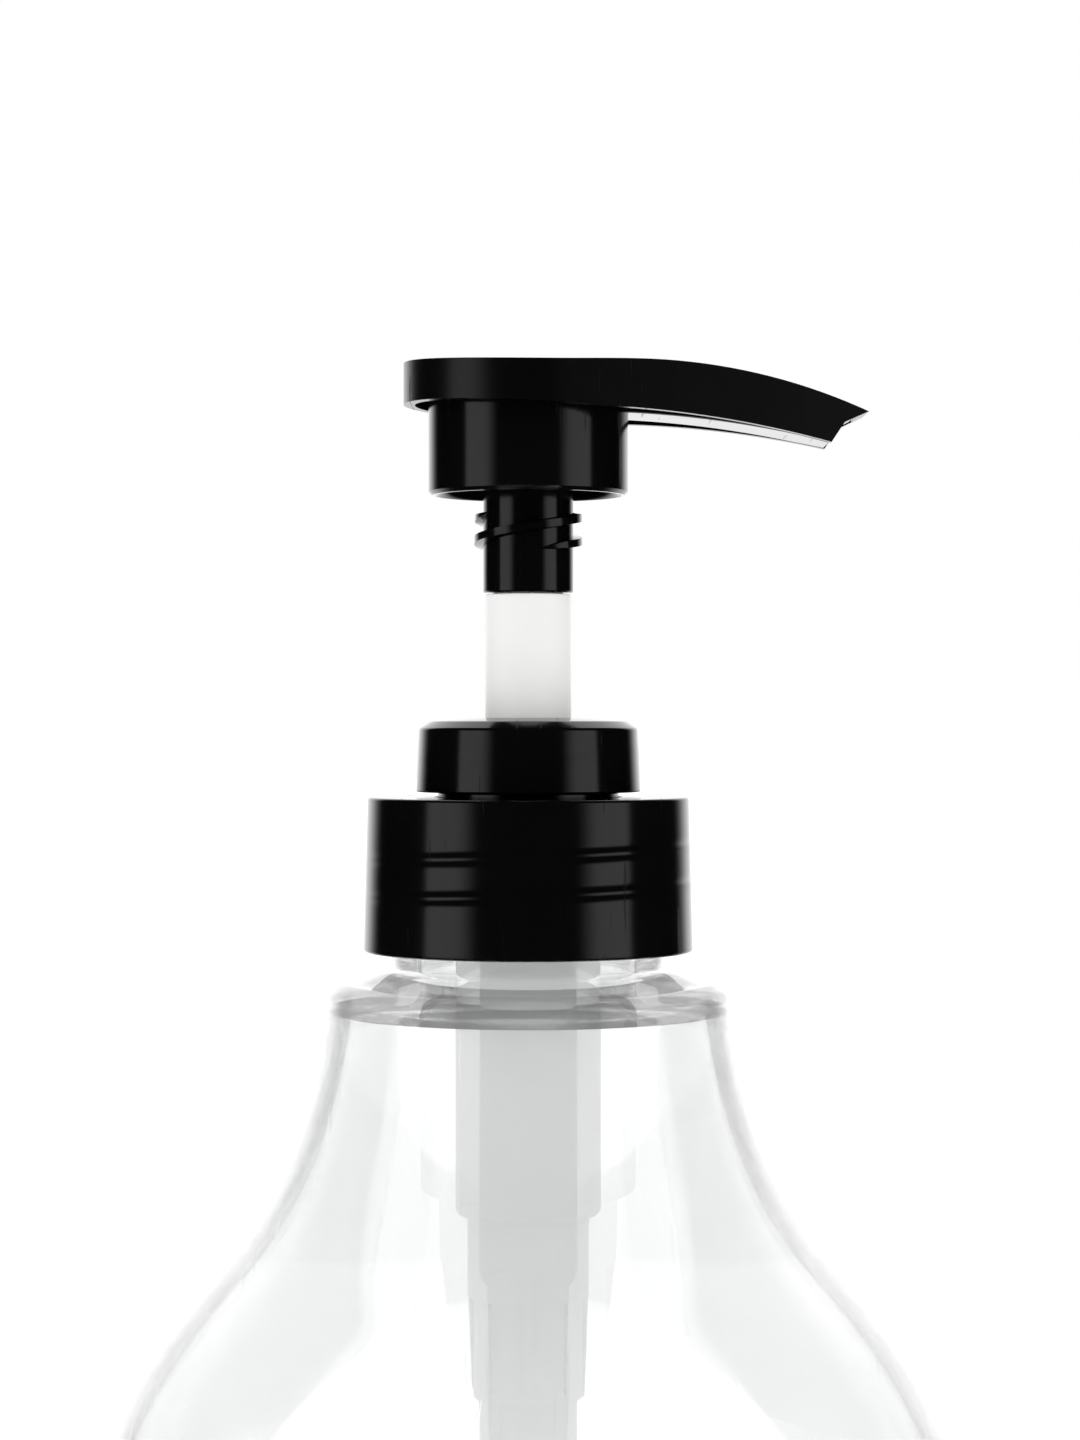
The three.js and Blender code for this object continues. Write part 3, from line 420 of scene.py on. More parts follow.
class NodeWriter:
    """Writes the nodes of one material or of the world."""

    def __init__(self, tree):
        self.tree = tree
        self.tree.nodes.clear()

    def node(self, kind, settings=None, values=None):
        """Adds a node: its settings first, then the values or links of its sockets."""
        node = self.tree.nodes.new(kind)
        for key, value in (settings or {}).items():
            setattr(node, key, value)
        for key, value in (values or {}).items():
            if isinstance(value, Term):
                self.tree.links.new(value.socket, node.inputs[key])
            else:
                node.inputs[key].default_value = value
        return node

    def add(self, kind, settings=None, values=None, output=0):
        """The same, as a term for one of the node's outputs."""
        return Term(self, self.node(kind, settings, values).outputs[output])

    def noise(self, vector, scale, detail=2.0):
        """Noise between 0 and 1 on a vector."""
        return self.add("ShaderNodeTexNoise", None, {
            "Vector": vector, "Scale": scale, "Detail": detail, "Roughness": 0.5})

    def mix(self, factor, first, second):
        """Blend of two colours."""
        return self.add("ShaderNodeMix", {"data_type": "RGBA"},
                        {0: factor, 6: first, 7: second}, output=2)

    def stretched(self, vector, scale):
        """A vector scaled unevenly, so that a pattern on it runs along one way."""
        return self.add("ShaderNodeMapping", None, {"Vector": vector, "Scale": scale})

    def bump(self, height):
        """Normal from a height in metres."""
        return self.add("ShaderNodeBump", None, {
            "Height": height, "Distance": 1.0, "Strength": 1.0})


def new_finish(name):
    """An empty material, the writer of its nodes, and the object's own coordinates."""
    material = bpy.data.materials.new(name)
    material.use_nodes = True
    writer = NodeWriter(material.node_tree)
    return material, writer, writer.add("ShaderNodeTexCoord", output=3)


def shader(writer, values, constants=None):
    """Principled shader on the material's output."""
    surface = writer.add("ShaderNodeBsdfPrincipled", None, {**(constants or {}), **values})
    writer.node("ShaderNodeOutputMaterial", None, {"Surface": surface})


def shades(tint, dark):
    """A colour and a darker one of the same hue."""
    return tuple(tint), (*(channel * dark for channel in tint[:3]), 1)


def scratch_mask(writer, place, scale, lean):
    """Thin straight scratches along a leaning direction: 1 in a scratch, 0 elsewhere."""
    turned_place = writer.add("ShaderNodeMapping", None, {
        "Vector": place, "Rotation": (0.2, lean, 0.4), "Scale": (scale, scale * 0.03, scale * 0.06)})
    lines = writer.noise(turned_place, 1.0, 1.0)
    return lines.step(0.70, 0.73)


def black_plastic(name, roughness=0.13, sink=0.0, pitch=0.0, sink_heights=()):
    """Gloss black moulding: faint flow marks, hairline scratches and, over a thread, sink marks
    of a given depth that follow a helix of the given pitch from the given heights."""
    colours = bpy.context.scene.pump_finishes
    material, writer, place = new_finish(name)
    cloud = writer.noise(place, 90.0, 3.0)
    fine = writer.noise(place, 2600.0, 2.0)
    flow = writer.noise(writer.stretched(place, (60.0, 60.0, 14.0)), 1.0, 3.0)
    scratches = scratch_mask(writer, place, 1500.0, 0.9)
    plain, dark = shades(colours.black, 0.6)
    height = fine * 3.0e-6 + flow * 6.0e-5 - scratches * 3.5e-6
    if sink_heights:
        axes = writer.node("ShaderNodeSeparateXYZ", None, {"Vector": place})
        x, y, z = (Term(writer, axes.outputs[i]) for i in range(3))
        climbed = z - y.math("ARCTAN2", x) * (pitch / (2 * math.pi)) - pitch / 4
        for low in sink_heights:
            away = (climbed - low) / bpy.context.scene.pump_sizes.sink_width
            height = height - (away * away * -1.0).math("EXPONENT") * sink
    shader(writer, {
        "Base Color": writer.mix(cloud, dark, plain),
        "Roughness": roughness + cloud * 0.05 + scratches * 0.15,
        "Normal": writer.bump(height),
    }, {"IOR": 1.47})
    return material


def white_plastic():
    """Satin white stem."""
    colours = bpy.context.scene.pump_finishes
    material, writer, place = new_finish("stem_white")
    cloud = writer.noise(place, 160.0, 3.0)
    drawn = writer.noise(writer.stretched(place, (1400.0, 1400.0, 40.0)), 1.0, 2.0)
    plain, dark = shades(colours.white, 0.95)
    shader(writer, {
        "Base Color": writer.mix(cloud, dark, plain),
        "Roughness": 0.34 + drawn * 0.14,
        "Normal": writer.bump(drawn * 4.0e-6),
    }, {"IOR": 1.5, "Subsurface Weight": 0.25, "Subsurface Radius": (1.0, 1.0, 1.0),
        "Subsurface Scale": 1.5 * MM})
    return material


def natural_plastic(name):
    """Milky unpigmented plastic that lets some light through."""
    colours = bpy.context.scene.pump_finishes
    material, writer, place = new_finish(name)
    cloud = writer.noise(place, 70.0, 3.0)
    drawn = writer.noise(writer.stretched(place, (900.0, 900.0, 30.0)), 1.0, 2.0)
    plain, dark = shades(colours.natural, 0.94)
    shader(writer, {
        "Base Color": writer.mix(cloud, dark, plain),
        "Roughness": 0.38 + cloud * 0.12,
        "Normal": writer.bump(drawn * 5.0e-6),
    }, {"IOR": 1.5, "Alpha": 0.9})
    return material


def clear_glass():
    """Fire-polished glass: slow waves, fine rubs and a few hairline scratches."""
    colours = bpy.context.scene.pump_finishes
    material, writer, place = new_finish("jug_glass")
    slow = writer.noise(writer.stretched(place, (22.0, 22.0, 9.0)), 1.0, 1.0)
    rubs = writer.noise(place, 240.0, 3.0).step(0.6, 0.85)
    scratches = scratch_mask(writer, place, 900.0, 0.5)
    plain, dark = shades(colours.glass, 0.985)
    shader(writer, {
        "Base Color": writer.mix(slow, dark, plain),
        "Roughness": rubs * 0.012 + scratches * 0.05,
        "Normal": writer.bump(slow * 1.2e-4 - scratches * 4.0e-6),
    }, {"IOR": 1.5, "Transmission Weight": 1.0, "Alpha": 0.72})
    return material


def foam():
    """Closed-cell foam: small cells in a pale sheet."""
    colours = bpy.context.scene.pump_finishes
    material, writer, place = new_finish("gasket_foam")
    cells = writer.add("ShaderNodeTexVoronoi", None, {"Vector": place, "Scale": 3500.0})
    plain, dark = shades(colours.foam, 0.75)
    shader(writer, {
        "Base Color": writer.mix(cells, dark, plain),
        "Roughness": 0.75 + cells * 0.15,
        "Normal": writer.bump(cells * 6.0e-5),
    })
    return material


def steel(name, drawn_along):
    """Bright stainless steel with drawing or polishing marks."""
    colours = bpy.context.scene.pump_finishes
    material, writer, place = new_finish(name)
    marks = writer.noise(writer.stretched(place, drawn_along), 1.0, 2.0)
    plain, dark = shades(colours.steel, 0.8)
    shader(writer, {
        "Base Color": writer.mix(marks, dark, plain),
        "Roughness": 0.2 + marks * 0.2,
        "Normal": writer.bump(marks * 3.0e-6),
    }, {"Metallic": 1.0})
    return material


# ---- operators -----------------------------------------------------------


class PUMP_OT_bottle(Operator):
    """Glass jug with its ogee shoulder, ledge and screw finish"""

    bl_idname = "pump.make_bottle"
    bl_label = "Bottle"

    def shoulder(self, sizes, inset, steps):
        """Ogee from the body up to the neck, moved in by an inset."""
        body = BOTTLE_HIGH.x
        width, height = body - sizes.shoulder_neck, sizes.shoulder_top - sizes.shoulder_bottom

        def at(across, down):
            return sizes.shoulder_neck + width * across, sizes.shoulder_top - height * down

        lower = cubic(at(1, 1), at(1, 0.78), at(0.672, 0.584), at(0.446, 0.473), steps)
        upper = cubic(at(0.446, 0.473), at(0.159, 0.332), at(0.055, 0.174), at(0, 0), steps)
        points = lower + upper[1:]
        moved = []
        for i, (radius, z) in enumerate(points):
            before, after = points[max(0, i - 1)], points[min(len(points) - 1, i + 1)]
            run = Vector((after[0] - before[0], after[1] - before[1])).normalized()
            moved.append((radius - inset * run.y, z + inset * run.x))
        return moved

    def execute(self, context):
        sizes = context.scene.pump_sizes
        body, top = BOTTLE_HIGH.x, BOTTLE_HIGH.z
        wall, ledge = sizes.glass_wall, sizes.ledge
        corner = 8 * MM
        outside = [
            (4 * MM, 3.0 * MM), (20 * MM, 2.6 * MM), (36 * MM, 1.6 * MM), (44 * MM, 0.7 * MM),
            (47 * MM, 0.1 * MM), (47.6 * MM, 0.0), (51.4 * MM, 0.0),
            *arc((body - corner, corner), corner, -88, 0, 10)[1:],
            *self.shoulder(sizes, 0.0, 16),
            *arc((sizes.shoulder_neck - 2.9 * MM, ledge - 4.4 * MM), 2.9 * MM, 8, 80, 7),
            (21.5 * MM, ledge - 1.0 * MM), (20.0 * MM, ledge - 0.5 * MM),
            (sizes.neck_band + 0.5 * MM, ledge - 0.15 * MM),
            (sizes.neck_band + 0.12 * MM, ledge + 0.2 * MM), (sizes.neck_band, ledge + 0.7 * MM),
            (sizes.neck_band, ledge + 4.0 * MM), (sizes.neck_root, ledge + 5.0 * MM),
            (sizes.neck_root, top - 0.9 * MM), (sizes.neck_root - 0.3 * MM, top - 0.3 * MM),
            (sizes.neck_root - 0.9 * MM, top),
        ]
        floor = 7.5 * MM
        inner = body - wall
        inside = [
            (sizes.neck_bore + 0.8 * MM, top), (sizes.neck_bore + 0.2 * MM, top - 0.3 * MM),
            (sizes.neck_bore, top - 0.8 * MM), (sizes.neck_bore, ledge - 2.6 * MM),
            *arc((sizes.neck_bore + 2.4 * MM, ledge - 2.4 * MM), 2.4 * MM, 184, 262, 6),
            (20 * MM, ledge - 5.0 * MM), (22.2 * MM, ledge - 5.5 * MM),
            *self.shoulder(sizes, wall, 14)[::-1],
            *arc((inner - corner, floor + corner), corner, 0, -88, 8),
            (30 * MM, floor + 0.4 * MM), (4 * MM, floor + 1.0 * MM),
        ]
        jug = turned("jug", outside + inside, sizes.facets, closed=False, smooth=50)
        ridge = thread_ridge("jug_thread", sizes.neck_root, sizes.neck_root + 1.1 * MM, 2.0 * MM,
                             sizes.finish_pitch, 1.5, sizes.thread_low, 0.0)
        combine(jug, [ridge])
        keep(jug, "bottle_body", "bottle", clear_glass())
        return {"FINISHED"}


class PUMP_OT_closure(Operator):
    """Black screw closure with its inner thread"""

    bl_idname = "pump.make_closure"
    bl_label = "Closure"

    def execute(self, context):
        sizes = context.scene.pump_sizes
        low, high = CLOSURE_LOW.z, CLOSURE_HIGH.z
        bottom_radius, top_radius = CLOSURE_HIGH.x, 21.5 * MM
        root, hole, panel = 19.0 * MM, 12.4 * MM, 1.9 * MM
        sides = [(bottom_radius + (top_radius - bottom_radius) * k / 8,
                  low + (high - low) * k / 8) for k in range(9)]
        shell = turned("closure_ring", [
            (root + 0.5 * MM, low), *sides, (hole, high), (hole, high - panel),
            (root, high - panel), (root, low + 0.5 * MM),
        ], sizes.facets)
        round_edges(shell, 0.38 * MM, angle=30, segments=4)
        ridge = thread_ridge("closure_thread", root, root - 1.1 * MM, 2.0 * MM,
                             sizes.finish_pitch, 1.5, sizes.thread_low - sizes.finish_pitch / 2, 0.0)
        combine(shell, [ridge])
        keep(shell, "closure_ring", "closure",
             black_plastic("closure_black", 0.12, 1.9e-4, sizes.finish_pitch,
                           (high - 7.3 * MM, high - 12.3 * MM)))
        return {"FINISHED"}


class PUMP_OT_collar(Operator):
    """Black collar that guides the stem and holds the lower half of the lock thread"""

    bl_idname = "pump.make_collar"
    bl_label = "Collar"

    def execute(self, context):
        sizes = context.scene.pump_sizes
        top, bottom = COLLAR_HIGH.z, CLOSURE_HIGH.z + sizes.collar_gap
        face, foot = HOUSING_HIGH.z + 0.2 * MM, COLLAR_LOW.z
        root, bore, guide = 7.5 * MM, 6.4 * MM, 5.95 * MM
        side, floor = COLLAR_HIGH.x, bottom + sizes.collar_floor
        body = turned("stem_collar", [
            (guide, foot), (8.35 * MM, foot), (8.35 * MM, face), (9.3 * MM, face),
            (9.3 * MM, top - 2.2 * MM), (10.7 * MM, top - 2.2 * MM), (10.7 * MM, face),
            (12.1 * MM, face), (12.1 * MM, bottom), (side, bottom),
            (side - 0.4 * MM, top - 1.45 * MM), (side - 1.9 * MM, top - 0.45 * MM),
            (root + 0.4 * MM, top), (root, top - 0.4 * MM), (root, floor),
            (bore, floor), (bore, face - 1.4 * MM), (guide, face - 2.0 * MM),
        ], 96)
        round_edges(body, 0.22 * MM, angle=25, segments=3)
        low = floor + sizes.collar_ridge
        turns = (top - 0.7 * MM - low) / sizes.lock_lead
        lock_low = sizes.skirt_bottom - sizes.lock_drop - sizes.lock_zone + sizes.lock_ridge / 2
        climbed = low + sizes.lock_lead / 4 - (lock_low - sizes.stroke)
        phase = sizes.lock_start + 2 * math.pi * climbed / sizes.lock_lead
        ridges = [
            thread_ridge(f"collar_ridge_{i}", root, bore, sizes.collar_ridge, sizes.lock_lead,
                         turns, low, phase + i * math.pi) for i in range(2)]
        combine(body, ridges)
        keep(body, "pump_body", "collar",
             black_plastic("collar_black", 0.11, 2.0e-5, sizes.lock_lead,
                           (top - 5.0 * MM,)))
        return {"FINISHED"}


class PUMP_OT_head_core(Operator):
    """Skirt, threaded neck and inner spout tube of the pump head"""

    bl_idname = "pump.make_head_core"
    bl_label = "Head core"

    def room(self, x, sizes):
        """Half width, low height and high height of the spout's channel at a station."""
        back = sizes.skirt_radius + 3.3 * MM
        slant = math.acos(back / math.hypot(sizes.reach, sizes.tip_half))
        tangent = math.atan2(sizes.tip_half, sizes.reach) + slant
        join_x, join_y = back * math.cos(tangent), back * math.sin(tangent)
        slope = (join_y - sizes.tip_half) / (sizes.reach - join_x)
        half = join_y - slope * (x - join_x) - sizes.cover_wall - 0.3 * MM
        high = top_height(x, sizes) - sizes.cover_top - 0.4 * MM
        return min(sizes.spout_half, half), rim_height(x, sizes), high

    def spout(self, sizes):
        """Flat-bottomed channel with a blind bore, drooping to the notched tip."""
        clear_selection()
        first, last, steps = 9.0 * MM, sizes.reach + 1.0 * MM, 18
        half, low, high = self.room(first, sizes)
        bpy.ops.mesh.primitive_plane_add(size=1, rotation=(0, math.pi / 2, 0),
                                         location=(first, 0, (low + high) / 2))
        piece = begin("head_spout")
        bpy.ops.transform.resize(value=(1, 2 * half, high - low),
                                 center_override=(first, 0, (low + high) / 2))
        x = first
        for step in range(1, steps + 1):
            station = first + (last - first) * step / steps
            new_half, new_low, new_high = self.room(station, sizes)
            self.advance(station - x, (half, low, high), (new_half, new_low, new_high), station)
            x, half, low, high = station, new_half, new_low, new_high
        wall = 0.9 * MM
        bore = (half - wall, low + wall, high - wall)
        self.advance(0, (half, low, high), bore, x)
        deep_half, deep_low, deep_high = self.room(x - 11 * MM, sizes)
        deep = (deep_half - wall, deep_low + wall, deep_high - wall)
        self.advance(-11 * MM, bore, deep, x - 11 * MM)
        close_up(piece)
        round_edges(piece, 0.35 * MM, angle=50, segments=2)
        return combine(piece, [tip_cutter("core_cutter", 0.3 * MM, sizes)], "DIFFERENCE")

    def advance(self, run, old, new, station):
        """Extrudes the section on by a run and fits it to its new half width and heights."""
        rise = (new[1] + new[2] - old[1] - old[2]) / 2
        bpy.ops.mesh.extrude_region_move(TRANSFORM_OT_translate={"value": (run, 0, rise)})
        bpy.ops.transform.resize(
            value=(1, new[0] / old[0], (new[2] - new[1]) / (old[2] - old[1])),
            center_override=(station, 0, (new[1] + new[2]) / 2))

    def execute(self, context):
        sizes = context.scene.pump_sizes
        skirt, rim = sizes.skirt_radius, sizes.skirt_bottom
        neck_bottom, deck, top = CORE_LOW.z, 314.2 * MM, 315.8 * MM
        inner = skirt - 1.6 * MM
        body = turned("head_skirt", [
            (4.75 * MM, neck_bottom), (sizes.neck_radius - 0.15 * MM, neck_bottom),
            (sizes.neck_radius, neck_bottom + 0.2 * MM),
            (sizes.neck_radius, deck - 0.8 * MM), (sizes.neck_radius + 0.8 * MM, deck),
            (inner - 0.8 * MM, deck), (inner, deck - 0.8 * MM),
            (inner, rim + 0.9 * MM), (inner + 0.35 * MM, rim + 0.25 * MM),
            (inner + 0.7 * MM, rim), (skirt - 0.45 * MM, rim), (skirt, rim + 0.5 * MM),
            (skirt, top), (3.0 * MM, top), (3.0 * MM, neck_bottom + 10.1 * MM),
            (4.75 * MM, neck_bottom + 10.1 * MM),
        ], 128)
        low = rim - sizes.lock_drop - sizes.lock_zone + sizes.lock_ridge / 2
        turns = (sizes.lock_zone - sizes.lock_ridge) / sizes.lock_lead
        ridges = [
            thread_ridge(f"neck_ridge_{i}", sizes.neck_radius, sizes.lock_crest,
                         sizes.lock_ridge, sizes.lock_lead, turns, low,
                         sizes.lock_start + i * math.pi)
            for i in range(2)]
        combine(body, [self.spout(sizes), *ridges])
        keep(body, "head", "head_core", black_plastic("core_black", 0.11))
        return {"FINISHED"}


class PUMP_OT_head_cover(Operator):
    """Slab on top of the head, drawn out over the spout"""

    bl_idname = "pump.make_head_cover"
    bl_label = "Head cover"

    def outline(self, piece, back, half_tip, reach, height):
        """Turns a full circle into a round back with two long sides that taper to the tip."""
        tangent = math.atan2(half_tip, reach) + math.acos(back / math.hypot(reach, half_tip))
        join_x = back * math.cos(tangent)
        pick(piece, lambda co: co.x > join_x)
        bpy.ops.mesh.delete(type="VERT")
        places = self.places(piece)
        edge_x = max(co.x for co in places)
        half = max(co.y for co in places if co.x > edge_x - 1e-6)
        pick(piece, lambda co: co.x > edge_x - 1e-6)
        slope = (half - half_tip) / (reach - edge_x)
        end, cuts, x = reach + 4 * MM, 26, edge_x
        for cut in range(1, cuts + 1):
            station = edge_x + (end - edge_x) * cut / cuts
            bpy.ops.mesh.extrude_region_move(
                TRANSFORM_OT_translate={"value": (station - x, 0, 0)})
            ratio = (half - slope * (station - edge_x)) / (half - slope * (x - edge_x))
            bpy.ops.transform.resize(value=(1, ratio, 1), center_override=(station, 0, height))
            x = station

    def places(self, piece):
        """Places of the mesh's vertices with edit mode's last changes."""
        bpy.ops.object.mode_set(mode="OBJECT")
        bpy.ops.object.mode_set(mode="EDIT")
        return [piece.matrix_world @ vertex.co for vertex in piece.data.vertices]

    def slab(self, name, sizes, inset, rim, crest):
        """Closed slab between two height functions of x, with its outline moved in by an inset."""
        clear_selection()
        back, height = -COVER_LOW.x - inset, COVER_HIGH.z
        bpy.ops.mesh.primitive_circle_add(vertices=128, radius=back, location=(0, 0, height))
        piece = begin(name)
        self.outline(piece, back, sizes.tip_half - inset, sizes.reach, height)
        low_x = min(co.x for co in self.places(piece))
        pick(piece, lambda co: co.x < low_x + 1e-6)
        bpy.ops.mesh.delete(type="VERT")
        bpy.ops.mesh.select_mode(type="EDGE")
        bpy.ops.mesh.select_all(action="SELECT")
        bpy.ops.mesh.bridge_edge_loops(number_cuts=7, interpolation="LINEAR")
        bpy.ops.mesh.select_all(action="SELECT")
        bpy.ops.mesh.extrude_region_move(TRANSFORM_OT_translate={"value": (0, 0, -5 * MM)})
        middle = height - 2 * MM
        for x in sorted({round(co.x, 6) for co in self.places(piece)}):
            pick(piece, lambda co: round(co.x, 6) == x and co.z < middle)
            bpy.ops.transform.translate(value=(0, 0, rim(x) - height + 5 * MM))
            pick(piece, lambda co: round(co.x, 6) == x and co.z >= middle)
            bpy.ops.transform.translate(value=(0, 0, crest(x) - height))
        return close_up(piece)

    def execute(self, context):
        sizes = context.scene.pump_sizes
        cover = self.slab("head_slab", sizes, 0.0, lambda x: rim_height(x, sizes),
                          lambda x: top_height(x, sizes))
        hollow = self.slab("head_hollow", sizes, sizes.cover_wall,
                           lambda x: rim_height(x, sizes) - 5 * MM,
                           lambda x: top_height(x, sizes) - sizes.cover_top)
        combine(cover, [hollow, tip_cutter("cover_cutter", 0.0, sizes)], "DIFFERENCE")
        round_edges(cover, 0.3 * MM, angle=50, segments=3)
        keep(cover, "head", "head_cover", black_plastic("cover_black", 0.24))
        return {"FINISHED"}


class PUMP_OT_stem(Operator):
    """White stem between the head and the piston rod"""

    bl_idname = "pump.make_stem"
    bl_label = "Stem"

    def execute(self, context):
        sizes = context.scene.pump_sizes
        low, high = STEM_LOW.z, STEM_HIGH.z
        shoulder = CORE_LOW.z - 0.2 * MM
        side, bore = sizes.stem_radius, 3.9 * MM
        stem = turned("pump_stem", [
            (3.15 * MM, low), (STEM_HIGH.x, low), (STEM_HIGH.x, low + 2 * MM),
            (side, low + 2 * MM), (side, shoulder), (4.6 * MM, shoulder),
            (4.6 * MM, high - 0.6 * MM), (4.2 * MM, high), (3.3 * MM, high),
            (3.3 * MM, shoulder - 2 * MM), (bore, shoulder - 4 * MM),
            (bore, 263 * MM), (3.15 * MM, 262.4 * MM),
        ], 96)
        round_edges(stem, 0.15 * MM, angle=40, segments=2)
        keep(stem, "stem_body", "stem", white_plastic())
        return {"FINISHED"}


class PUMP_OT_housing(Operator):
    """Milky pump barrel, valve chamber and ribbed dip-tube socket"""

    bl_idname = "pump.make_housing"
    bl_label = "Pump housing"

    def rib(self, index, low, high, outer):
        """One rib of the socket, chamfered at its lower outer corner."""
        clear_selection()
        inner = 6.95 * MM
        bpy.ops.mesh.primitive_cube_add(size=1, location=((inner + outer) / 2, 0, (low + high) / 2))
        piece = begin(f"socket_rib_{index}")
        bpy.ops.transform.resize(value=(outer - inner, 1.0 * MM, high - low))
        pick(piece, lambda co: co.z < (low + high) / 2 and co.x > (inner + outer) / 2)
        bpy.ops.transform.translate(value=(-0.55 * MM, 0, 0))
        bpy.ops.mesh.select_all(action="SELECT")
        turn_about_z(2 * math.pi * index / 8)
        return close_up(piece)

    def execute(self, context):
        low, high = HOUSING_LOW.z, HOUSING_HIGH.z
        flange = HOUSING_HIGH.x
        barrel_bottom, chamber_bottom = 205.1 * MM, 193.7 * MM
        stop = TUBE_HIGH.z + 0.2 * MM
        body = turned("pump_barrel", [
            (2.4 * MM, stop), (6.75 * MM, stop), (6.75 * MM, low),
            (7.35 * MM, low), (7.35 * MM, chamber_bottom), (8.15 * MM, chamber_bottom),
            (8.15 * MM, barrel_bottom), (9.15 * MM, barrel_bottom),
            (9.75 * MM, barrel_bottom + 0.7 * MM), (9.75 * MM, high - 1.2 * MM),
            (flange, high - 1.2 * MM), (flange, high), (8.55 * MM, high),
            (8.55 * MM, barrel_bottom + 2.2 * MM), (6.5 * MM, barrel_bottom + 1.2 * MM),
            (6.5 * MM, 196 * MM), (4.4 * MM, 196 * MM), (4.4 * MM, 192 * MM),
            (2.4 * MM, 189.6 * MM),
        ], 96)
        round_edges(body, 0.18 * MM, angle=40, segments=2)
        ribs = [self.rib(i, low + (0 if i == 0 else 1.2 * MM), chamber_bottom + 0.5 * MM, 8.05 * MM)
                for i in range(8)]
        combine(body, ribs)
        keep(body, "pump_body", "pump_housing", natural_plastic("housing_milky"))
        return {"FINISHED"}


class PUMP_OT_dip_tube(Operator):
    """Milky dip tube with a slanted foot"""

    bl_idname = "pump.make_dip_tube"
    bl_label = "Dip tube"

    def execute(self, context):
        outer, bore = TUBE_HIGH.x, 5.3 * MM
        low, high = TUBE_LOW.z, TUBE_HIGH.z
        tube = turned("dip_tube_drawn", [
            (bore, low), (outer, low), (outer, low + 8 * MM), (outer, high), (bore, high),
            (bore, low + 8 * MM),
        ], 96)
        bpy.ops.object.mode_set(mode="EDIT")
        pick(tube, lambda co: co.z < low + 1 * MM)
        rise = 5.0 * MM
        tilt = math.atan2(rise, 2 * outer)
        bpy.ops.transform.resize(value=(1 / math.cos(tilt), 1, 1), center_override=(0, 0, low))
        bpy.ops.transform.rotate(value=-tilt, orient_axis="Y", orient_type="GLOBAL",
                                 center_override=(0, 0, low))
        bpy.ops.transform.translate(value=(0, 0, rise / 2))
        close_up(tube)
        round_edges(tube, 0.15 * MM, angle=40, segments=2)
        keep(tube, "pump_body", "dip_tube", natural_plastic("tube_milky"))
        return {"FINISHED"}


class PUMP_OT_spring(Operator):
    """Return spring with closed ends"""

    bl_idname = "pump.make_spring"
    bl_label = "Return spring"

    def execute(self, context):
        wire = context.scene.pump_sizes.spring_wire
        low, high = SPRING_LOW.z + wire / 2, SPRING_HIGH.z - wire / 2
        turns, per_turn, end_pitch = 9.5, 40, 1.0 * MM
        steps = int(turns * per_turn)
        active = (high - low - 2 * end_pitch) / (turns - 2)

        def section():
            bpy.ops.mesh.primitive_circle_add(vertices=16, radius=wire / 2, fill_type="NGON",
                                              rotation=(math.pi / 2, 0, 0))
            bpy.ops.object.transform_apply(rotation=True)

        def rise(step):
            turn = step / per_turn
            closed = turn <= 1 or turn > turns - 1
            return (end_pitch if closed else active) / per_turn

        spring = coil("piston_spring", 5.6 * MM, rise, steps, 2 * math.pi / per_turn, 0.0, low,
                      section, lambda step: 1.0)
        keep(spring, "spring_body", "return_spring",
             steel("spring_steel", (200.0, 200.0, 6000.0)))
        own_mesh(spring)
        return {"FINISHED"}


class PUMP_OT_small_pieces(Operator):
    """Gasket and check ball, and the finishes of the pieces inside the barrel"""

    bl_idname = "pump.make_small_pieces"
    bl_label = "Small pieces"

    def execute(self, context):
        gasket = turned("lip_gasket", [
            (10.15 * MM, GASKET_LOW.z), (GASKET_HIGH.x, GASKET_LOW.z),
            (GASKET_HIGH.x, GASKET_HIGH.z), (10.15 * MM, GASKET_HIGH.z),
        ], 96)
        round_edges(gasket, 0.12 * MM, segments=2)
        keep(gasket, "pump_body", "gasket", foam())
        clear_selection()
        middle = (BALL_LOW + BALL_HIGH) / 2
        bpy.ops.mesh.primitive_uv_sphere_add(segments=48, ring_count=24,
                                             radius=BALL_HIGH.x, location=middle)
        ball = begin("valve_ball_bright")
        close_up(ball)
        keep(ball, "valve_ball", "check_ball", steel("ball_steel", (700.0,) * 3))
        inner = {
            "ball_cage": natural_plastic("cage_milky"),
            "piston": natural_plastic("piston_milky"),
            "piston_rod": natural_plastic("rod_milky"),
        }
        for name, finish in inner.items():
            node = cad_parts[name]
            node.data.materials.clear()
            node.data.materials.append(finish)
        return {"FINISHED"}


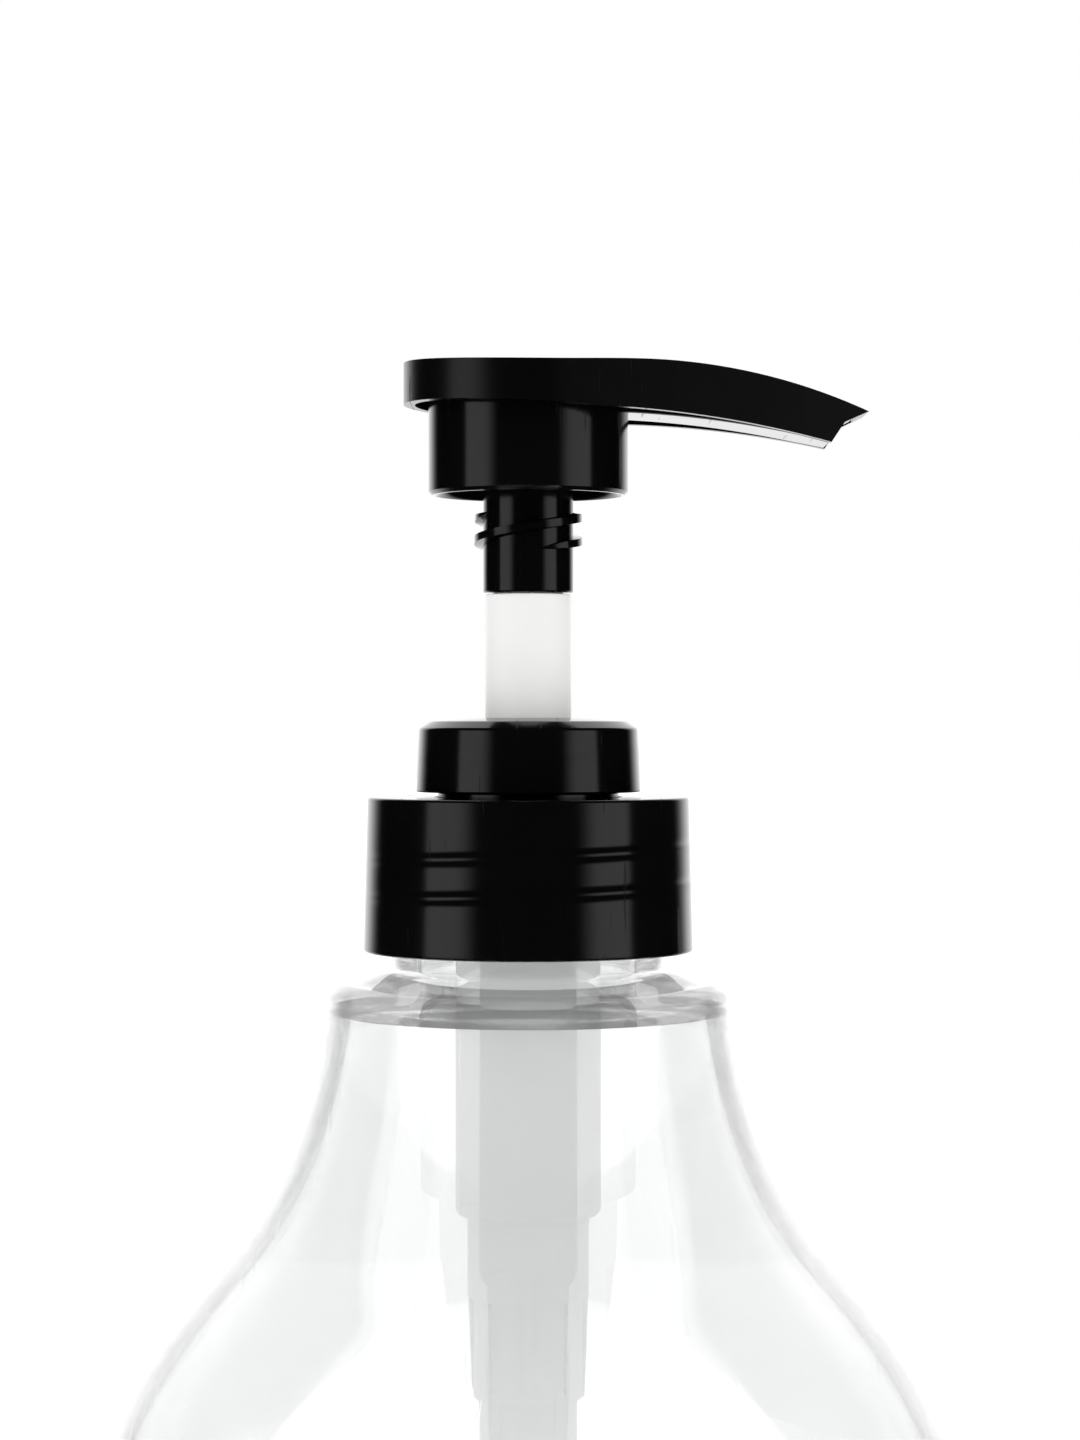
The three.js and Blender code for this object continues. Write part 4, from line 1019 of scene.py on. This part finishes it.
class PUMP_OT_stage(Operator):
    """Camera, plain pale floor and plain soft studio light"""

    bl_idname = "pump.make_stage"
    bl_label = "Stage"

    def execute(self, context):
        stage = context.scene.pump_stage
        clear_selection()
        bpy.ops.object.camera_add(
            location=(stage.side, -stage.distance, CLOSURE_LOW.z + stage.above),
            rotation=(math.pi / 2, 0, 0))
        camera = context.object
        camera.name = "studio_camera"
        camera.data.sensor_width = 36.0
        camera.data.lens = stage.lens
        camera.data.clip_start = 0.01
        camera.data.clip_end = 100.0
        context.scene.camera = camera
        self.floor(context)
        self.light(context)
        context.scene.view_settings.view_transform = "Standard"
        return {"FINISHED"}

    def floor(self, context):
        """A wide pale floor."""
        clear_selection()
        bpy.ops.mesh.primitive_plane_add(size=30.0, location=(0, 0, -0.0002))
        floor = begin("pale_floor")
        close_up(floor, tidy=False)
        material, writer, place = new_finish("floor_pale")
        cloud = writer.noise(place, 3.0, 2.0)
        plain, dark = shades(context.scene.pump_finishes.floor, 0.99)
        shader(writer, {"Base Color": writer.mix(cloud, dark, plain)},
               {"Roughness": 0.9, "Specular IOR Level": 0.0,
                "Emission Color": (1, 1, 1, 1), "Emission Strength": 0.12})
        floor.data.materials.append(material)
        floor.visible_glossy = False

    def light(self, context):
        """A white room for soft light. Polished surfaces see it as a studio: a white wall behind,
        two soft boxes in front, and darkness between them."""
        world = bpy.data.worlds.new("studio")
        context.scene.world = world
        world.use_nodes = True
        world.cycles.sampling_method = "NONE"
        writer = NodeWriter(world.node_tree)
        direction = writer.add("ShaderNodeTexCoord")
        axes = writer.node("ShaderNodeSeparateXYZ", None, {"Vector": direction})
        x, y, z = (Term(writer, axes.outputs[i]) for i in range(3))
        around = x.math("ARCTAN2", y * -1.0).math("ABSOLUTE")
        boxes = around.step(math.radians(34), math.radians(52)) * (
            1.0 - around.step(math.radians(74), math.radians(78)))
        boxes = boxes * (1.0 - z.math("ABSOLUTE").step(0.1, 0.26))
        wall = around.step(math.radians(128), math.radians(152))
        studio = boxes * 0.95 + wall * 1.5
        rays = writer.node("ShaderNodeLightPath")
        glossy = Term(writer, rays.outputs["Is Glossy Ray"])
        mirrored = glossy * Term(writer, rays.outputs["Is Reflection Ray"])
        through = Term(writer, rays.outputs["Is Transmission Ray"])
        front = 1.0 - around.step(math.radians(40), math.radians(120))
        plain = 1.0 - through * front * 0.04
        diffuse = Term(writer, rays.outputs["Is Diffuse Ray"])
        strength = (plain + diffuse * 0.35) * (1.0 - mirrored) + studio * mirrored
        background = writer.add("ShaderNodeBackground", None, {
            "Color": (1, 1, 1, 1), "Strength": strength})
        writer.node("ShaderNodeOutputWorld", None, {"Surface": background})


class PUMP_PT_panel(Panel):
    """Lists the pieces in the order in which they are made"""

    bl_idname = "PUMP_PT_panel"
    bl_label = "Pump Dispenser"
    bl_space_type = "VIEW_3D"
    bl_region_type = "UI"
    bl_category = "Pump"

    def draw(self, context):
        layout = self.layout
        for operator in OPERATORS:
            layout.operator(operator.bl_idname)
        for group in (context.scene.pump_sizes, context.scene.pump_finishes,
                      context.scene.pump_stage):
            box = layout.box()
            for name in group.bl_rna.properties.keys():
                if name not in {"rna_type", "name"}:
                    box.prop(group, name)


OPERATORS = (
    PUMP_OT_stage, PUMP_OT_bottle, PUMP_OT_closure, PUMP_OT_collar, PUMP_OT_head_core,
    PUMP_OT_head_cover, PUMP_OT_stem, PUMP_OT_housing, PUMP_OT_dip_tube, PUMP_OT_spring,
    PUMP_OT_small_pieces,
)
CLASSES = (PumpSizes, PumpFinishes, PumpStage, *OPERATORS, PUMP_PT_panel)


def register():
    """Registers the classes and hangs the settings on the scene."""
    for cls in CLASSES:
        bpy.utils.register_class(cls)
    bpy.types.Scene.pump_sizes = PointerProperty(type=PumpSizes)
    bpy.types.Scene.pump_finishes = PointerProperty(type=PumpFinishes)
    bpy.types.Scene.pump_stage = PointerProperty(type=PumpStage)


def unregister():
    """Takes the settings and the classes away again."""
    del bpy.types.Scene.pump_stage
    del bpy.types.Scene.pump_finishes
    del bpy.types.Scene.pump_sizes
    for cls in reversed(CLASSES):
        bpy.utils.unregister_class(cls)


def main():
    register()
    for operator in OPERATORS:
        group, name = operator.bl_idname.split(".")
        getattr(getattr(bpy.ops, group), name)()


if __name__ == "__main__":
    main()
